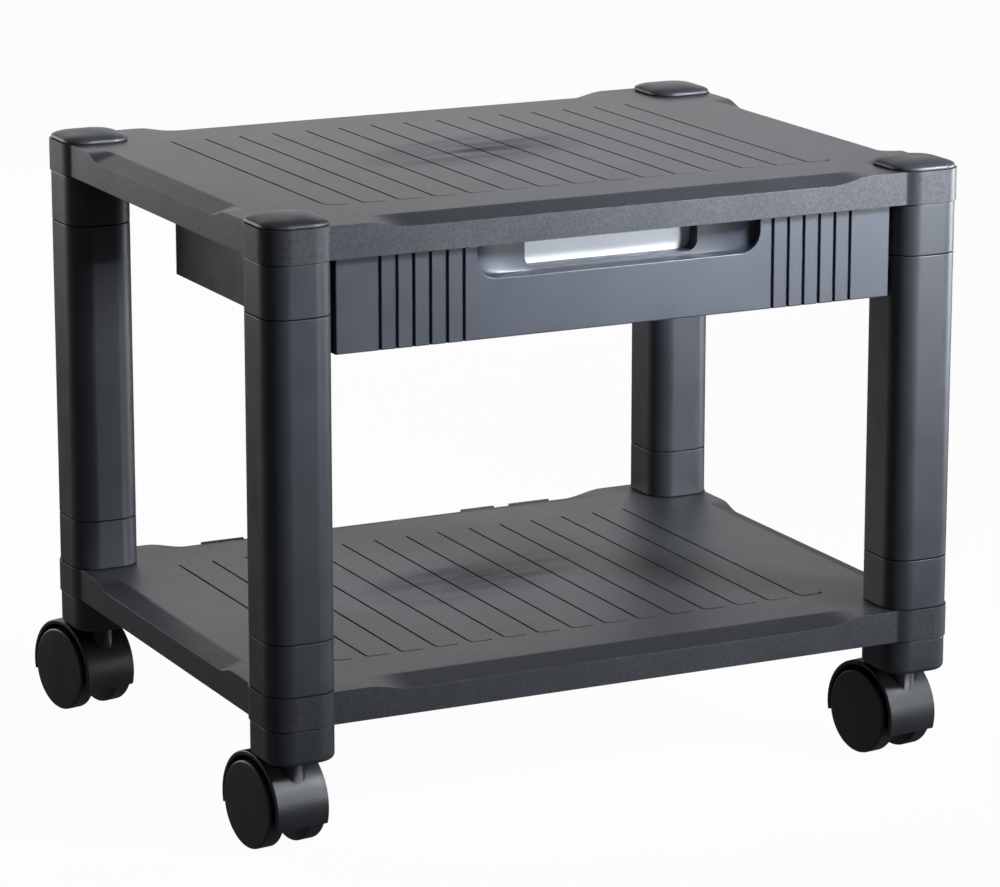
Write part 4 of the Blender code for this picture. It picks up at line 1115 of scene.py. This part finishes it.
def wheel_piece(sizes, near_face, far_face, bore, bore_end):
    """Wheel on the X axis, its plain face outwards at +X and a blind bore inwards."""
    crown = far_face - WHEEL_CROWN
    wheel = rod("wheel", (near_face, 0, 0), (crown, 0, 0), sizes.wheel_radius, 72)
    soften(wheel, border_of(0, 1), sizes.wheel_edge, 4)
    soften(wheel, border_of(0, -1), sizes.wheel_edge / 2, 3)
    radius = sizes.wheel_radius - sizes.wheel_edge
    for share, rise in WHEEL_RINGS:
        pick(wheel, "FACE", faces_like(0, 1, crown))
        bpy.ops.mesh.inset(thickness=radius * (1 - share), depth=0)
        bpy.ops.transform.translate(value=(rise, 0, 0))
        leave()
        radius *= share
        crown += rise
    pick(wheel, "FACE", faces_like(0, -1, near_face))
    bpy.ops.mesh.inset(thickness=sizes.wheel_radius - sizes.wheel_edge / 2 - bore, depth=0)
    bpy.ops.mesh.extrude_region_move(TRANSFORM_OT_translate={"value": (bore_end - near_face, 0, 0)})
    leave()
    return shade(wheel, math.radians(40))


class StandCasterHoods(bpy.types.Operator):
    """Model the four caster hoods"""
    bl_idname = "stand.caster_hoods"
    bl_label = "Caster hoods"

    def execute(self, context):
        sizes = context.scene.stand_casters
        trail, height = caster_place("front_left")[2:]
        hood = hood_piece(sizes, "front_left", trail, height)
        material = finishes()["caster_black"]
        for corner in CORNERS:
            place, yaw = caster_place(corner)[:2]
            piece = copy_of(hood, f"hood_{corner}", place, yaw)
            settle(piece, f"caster_{corner}", "caster_black", material, f"caster_hood_{corner}")
        bpy.data.objects.remove(hood)
        return {"FINISHED"}


class StandWheels(bpy.types.Operator):
    """Model the eight caster wheels"""
    bl_idname = "stand.wheels"
    bl_label = "Wheels"

    def execute(self, context):
        sizes = context.scene.stand_casters
        near_face = WHEEL_SPACE / 2
        far_face = near_face + WHEEL_WIDTH
        bore_end = near_face + AXLE_REACH + GAP
        wheel = wheel_piece(sizes, near_face, far_face, AXLE_RADIUS + GAP, bore_end)
        material = finishes()["caster_black"]
        for corner in CORNERS:
            yaw = caster_place(corner)[1]
            axle = Vector(joint_named(f"spin_left_{corner}")["pos_m"])
            for side, turn in (("right", 0.0), ("left", math.pi)):
                piece = copy_of(wheel, f"wheel_{side}_{corner}", axle, yaw + turn)
                body = f"wheel_{side}_{corner}"
                settle(piece, body, "caster_black", material, f"caster_wheel_{side}_{corner}")
        bpy.data.objects.remove(wheel)
        return {"FINISHED"}


# ---------------------------------------------------------------- drawer
def notch_cutter(name, middle, half, top, depth, radius, front, back):
    """Block open at the top whose two lower corners are rounded."""
    low = (middle.x - half, front, top - depth)
    high = (middle.x + half, back, top + OVERSHOOT)
    notch = block(name, low, high)

    def lower_corner(edge):
        run = edge.verts[1].co - edge.verts[0].co
        return abs(run.y) > 0.999 * run.length and near(edge.verts[0].co.z, top - depth)

    return soften(notch, lower_corner, radius, 10)


def scoop_cutter(sizes, middle, front, top):
    """Finger recess: a notch whose ends curve in towards the window."""
    half = sizes.handle_width / 2
    start, stop = (front + place for place in sizes.scoop)
    scoop = notch_cutter("scoop", middle, half, top, sizes.handle_depth, sizes.handle_radius,
                         front - OVERSHOOT, start)
    place, share = start, 1.0
    narrow = 1 - sizes.window_width / sizes.handle_width
    for step in range(1, SCOOP_STEPS + 1):
        turn = HALF_PI * step / SCOOP_STEPS
        target = start + (stop - start) * math.sin(turn)
        width = 1 - narrow * (1 - math.cos(turn))
        pick(scoop, "FACE", faces_like(1, 1, place))
        bpy.ops.mesh.extrude_region_move(TRANSFORM_OT_translate={"value": (0, target - place, 0)})
        bpy.ops.transform.resize(value=(width / share, 1, 1), center_override=(middle.x, target, top))
        leave()
        place, share = target, width
    return scoop


def flute_cutter(sizes, x, front, low, high):
    """Upright groove with flared lips."""
    half = sizes.flute_width / 2
    start = (x - half, front + FLUTE_LIP, low - OVERSHOOT)
    end = (x + half, front + sizes.flute_depth, high + OVERSHOOT)
    flute = block("flute", start, end)
    pick(flute, "FACE", faces_like(1, -1))
    bpy.ops.mesh.extrude_region_move(TRANSFORM_OT_translate={"value": (0, -FLUTE_LIP, 0)})
    flare = (half + FLUTE_LIP) / half
    bpy.ops.transform.resize(value=(flare, 1, 1), center_override=(x, front, low))
    bpy.ops.mesh.extrude_region_move(TRANSFORM_OT_translate={"value": (0, -OVERSHOOT, 0)})
    leave()
    return flute


def fascia_hollow(sizes, low, high, middle):
    """Space inside the drawer front, clear of the finger recess."""
    inset = Vector((sizes.wall, sizes.wall + sizes.flute_depth, sizes.wall))
    start = low + inset
    end = Vector((high.x - sizes.wall, high.y + OVERSHOOT, high.z - sizes.wall))
    hollow = block("hollow", start, end)
    half = sizes.handle_width / 2 + sizes.wall
    floor = high.z - sizes.handle_depth - sizes.wall
    housing_high = (middle.x + half, high.y + 2 * OVERSHOOT, high.z)
    cut(hollow, block("housing", (middle.x - half, low.y, floor), housing_high))
    return hollow


class StandDrawerFront(bpy.types.Operator):
    """Model the drawer front with its finger recess, window and flutes"""
    bl_idname = "stand.drawer_front"
    bl_label = "Drawer front"

    def execute(self, context):
        sizes = context.scene.stand_drawer
        low, high, middle = node_box("drawer_front")
        front = block("fascia", low, high)
        cut(front, fascia_hollow(sizes, low, high, middle))
        cut(front, scoop_cutter(sizes, middle, low.y, high.z))
        sill = sizes.handle_depth - sizes.window_sill
        window = notch_cutter("window", middle, sizes.window_width / 2, high.z, sill, sizes.window_radius,
                              low.y + sizes.scoop[1] - WINDOW_LAP, high.y + OVERSHOOT)
        cut(front, window)
        clean(front)
        soften(front, border_of(1, -1, low.y), sizes.edge, 3)
        flutes = []
        for side in (-1, 1):
            for index in range(sizes.flutes):
                x = middle.x + side * (sizes.flute_first + index * sizes.flute_pitch)
                flutes.append(flute_cutter(sizes, x, low.y, low.z, high.z))
        cut(front, joined(flutes))
        shade(front)
        settle(front, "drawer", "drawer_black", finishes()["drawer_black"], "drawer_front")
        return {"FINISHED"}


class StandTray(bpy.types.Operator):
    """Model the open drawer tray"""
    bl_idname = "stand.tray"
    bl_label = "Drawer tray"

    def execute(self, context):
        sizes = context.scene.stand_drawer
        low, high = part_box("drawer_tray")
        tray = rounded_block("tray", low, high, sizes.tray_corner, 5)
        soften(tray, border_of(2, -1), TRAY_FOOT_ROUND, 3)
        pick(tray, "FACE", faces_like(2, 1))
        bpy.ops.mesh.inset(thickness=sizes.tray_wall, depth=0)
        floor = low.z + sizes.tray_wall - high.z
        bpy.ops.mesh.extrude_region_move(TRANSFORM_OT_translate={"value": (0, 0, floor)})
        leave()
        soften(tray, border_of(2, 1, high.z), TRAY_RIM_ROUND, 2)
        shade(tray)
        settle(tray, "drawer", "tray_grey", finishes()["tray_grey"], "drawer_tray")
        return {"FINISHED"}


# ---------------------------------------------------------------- small parts
class StandHardware(bpy.types.Operator):
    """Give the runners, clips, screws, stems and axles their finishes"""
    bl_idname = "stand.hardware"
    bl_label = "Runners and hardware"

    def execute(self, context):
        materials = finishes()
        slots = {row["node"]: row["material_slot"] for row in frame["record"]["subparts"]}
        for name, obj in frame["nodes"].items():
            if obj.hide_render:
                continue
            obj.data.materials.clear()
            obj.data.materials.append(materials[slots[name]])
        return {"FINISHED"}


# ---------------------------------------------------------------- studio
def floor_material(colour):
    """Pale paper that glows a little, so that its shadows stay light."""
    material = bpy.data.materials.new("studio_floor")
    material.use_nodes = True
    shader = material.node_tree.nodes["Principled BSDF"]
    shader.inputs["Base Color"].default_value = (*colour, 1)
    shader.inputs["Roughness"].default_value = 0.9
    shader.inputs["Specular IOR Level"].default_value = 0.0
    shader.inputs["Emission Color"].default_value = (1, 1, 1, 1)
    shader.inputs["Emission Strength"].default_value = FLOOR_GLOW
    return material


def away(azimuth, elevation):
    """Direction from the stand at an azimuth, counted from the front, and an elevation."""
    level = math.cos(elevation)
    return Vector((math.sin(azimuth) * level, -math.cos(azimuth) * level, math.sin(elevation)))


def softbox(middle, name, azimuth, elevation, distance, size, power, colour, spread, aim):
    """Area light that faces a point of the stand."""
    middle = middle + Vector(aim)
    back = away(math.radians(azimuth), math.radians(elevation))
    deselect_all()
    turn = (-back).to_track_quat("-Z", "Y").to_euler()
    bpy.ops.object.light_add(type="AREA", location=middle + back * distance, rotation=turn)
    light = bpy.context.view_layer.objects.active
    light.name = name
    light.data.shape = "RECTANGLE"
    light.data.size, light.data.size_y = size
    light.data.energy = power
    light.data.color = colour
    light.data.spread = math.radians(spread)
    return light


LIGHTS = (
    # name, azimuth and elevation in degrees, distance, size, power, colour, spread in degrees, aim
    ("back_wall", 170, 15, 2.0, (2.3, 0.5), 6.9, (1.0, 0.99, 0.98), 180, (0, 0, 0.27)),
    ("key_light", 38, 24, 1.25, (0.34, 0.30), 3.3, (0.86, 0.92, 1.0), 32, (0.14, -0.12, 0.42)),
    ("front_bounce", 30, 0, 1.8, (0.5, 0.3), 1.75, (0.88, 0.93, 1.0), 50, (0.16, 0, 0.36)),
    ("fill_light", -148, 8, 2.2, (1.4, 1.0), 19, (0.97, 0.98, 1.0), 180, (0, 0, 0.3)),
    ("edge_strip", 84, 0, 1.6, (0.16, 0.5), 2.6, (0.9, 0.95, 1.0), 60, (0, 0, 0.3)),
)


class StandStage(bpy.types.Operator):
    """Set up the floor, the lights and the camera"""
    bl_idname = "stand.stage"
    bl_label = "Studio"

    def execute(self, context):
        scene = context.scene
        studio = scene.stand_studio
        middle = node_box("upper_shelf")[2]
        middle.z = 0
        deselect_all()
        bpy.ops.mesh.primitive_plane_add(size=FLOOR_SIZE, location=(middle.x, middle.y, -FLOOR_DROP))
        floor = named("studio_floor")
        floor.data.materials.append(floor_material(scene.stand_colours.floor))
        floor.visible_diffuse = False
        floor.visible_glossy = False
        for row in LIGHTS:
            softbox(middle, *row)
        world = bpy.data.worlds.new("studio")
        world.use_nodes = True
        sky = world.node_tree.nodes["Background"]
        sky.inputs["Color"].default_value = SKY_COLOUR
        sky.inputs["Strength"].default_value = SKY_GLOW
        scene.world = world
        aim = middle + Vector(studio.aim)
        back = away(studio.azimuth, studio.elevation)
        bpy.ops.object.camera_add(location=aim + back * studio.distance,
                                  rotation=(HALF_PI - studio.elevation, 0, studio.azimuth))
        camera = bpy.context.view_layer.objects.active
        camera.data.lens = studio.lens
        camera.data.clip_end = 100
        scene.camera = camera
        scene.view_settings.view_transform = "Standard"
        return {"FINISHED"}


# ---------------------------------------------------------------- add-on
STEPS = (StandShelves, StandPosts, StandRings, StandCaps, StandFeet, StandCasterHoods, StandWheels,
         StandDrawerFront, StandTray, StandHardware, StandStage)
GROUPS = {"stand_shelf": ShelfSizes, "stand_columns": ColumnSizes, "stand_casters": CasterSizes,
          "stand_drawer": DrawerSizes, "stand_colours": StandColours, "stand_studio": StudioSizes}


class StandPanel(bpy.types.Panel):
    """Buttons and sizes of the printer stand"""
    bl_idname = "VIEW3D_PT_printer_stand"
    bl_label = "Printer Stand"
    bl_space_type = "VIEW_3D"
    bl_region_type = "UI"
    bl_category = "Printer Stand"

    def draw(self, context):
        layout = self.layout
        for step in STEPS:
            layout.operator(step.bl_idname)
        for attribute, group in GROUPS.items():
            part = layout.box()
            values = getattr(context.scene, attribute)
            for name in group.__annotations__:
                part.prop(values, name)


def register():
    for group in GROUPS.values():
        bpy.utils.register_class(group)
    for attribute, group in GROUPS.items():
        setattr(bpy.types.Scene, attribute, PointerProperty(type=group))
    for step in STEPS:
        bpy.utils.register_class(step)
    bpy.utils.register_class(StandPanel)


def unregister():
    bpy.utils.unregister_class(StandPanel)
    for step in reversed(STEPS):
        bpy.utils.unregister_class(step)
    for attribute in GROUPS:
        delattr(bpy.types.Scene, attribute)
    for group in reversed(list(GROUPS.values())):
        bpy.utils.unregister_class(group)


def main():
    register()
    bpy.ops.stand.shelves()
    bpy.ops.stand.posts()
    bpy.ops.stand.rings()
    bpy.ops.stand.caps()
    bpy.ops.stand.feet()
    bpy.ops.stand.caster_hoods()
    bpy.ops.stand.wheels()
    bpy.ops.stand.drawer_front()
    bpy.ops.stand.tray()
    bpy.ops.stand.hardware()
    bpy.ops.stand.stage()


if __name__ == "__main__":
    main()
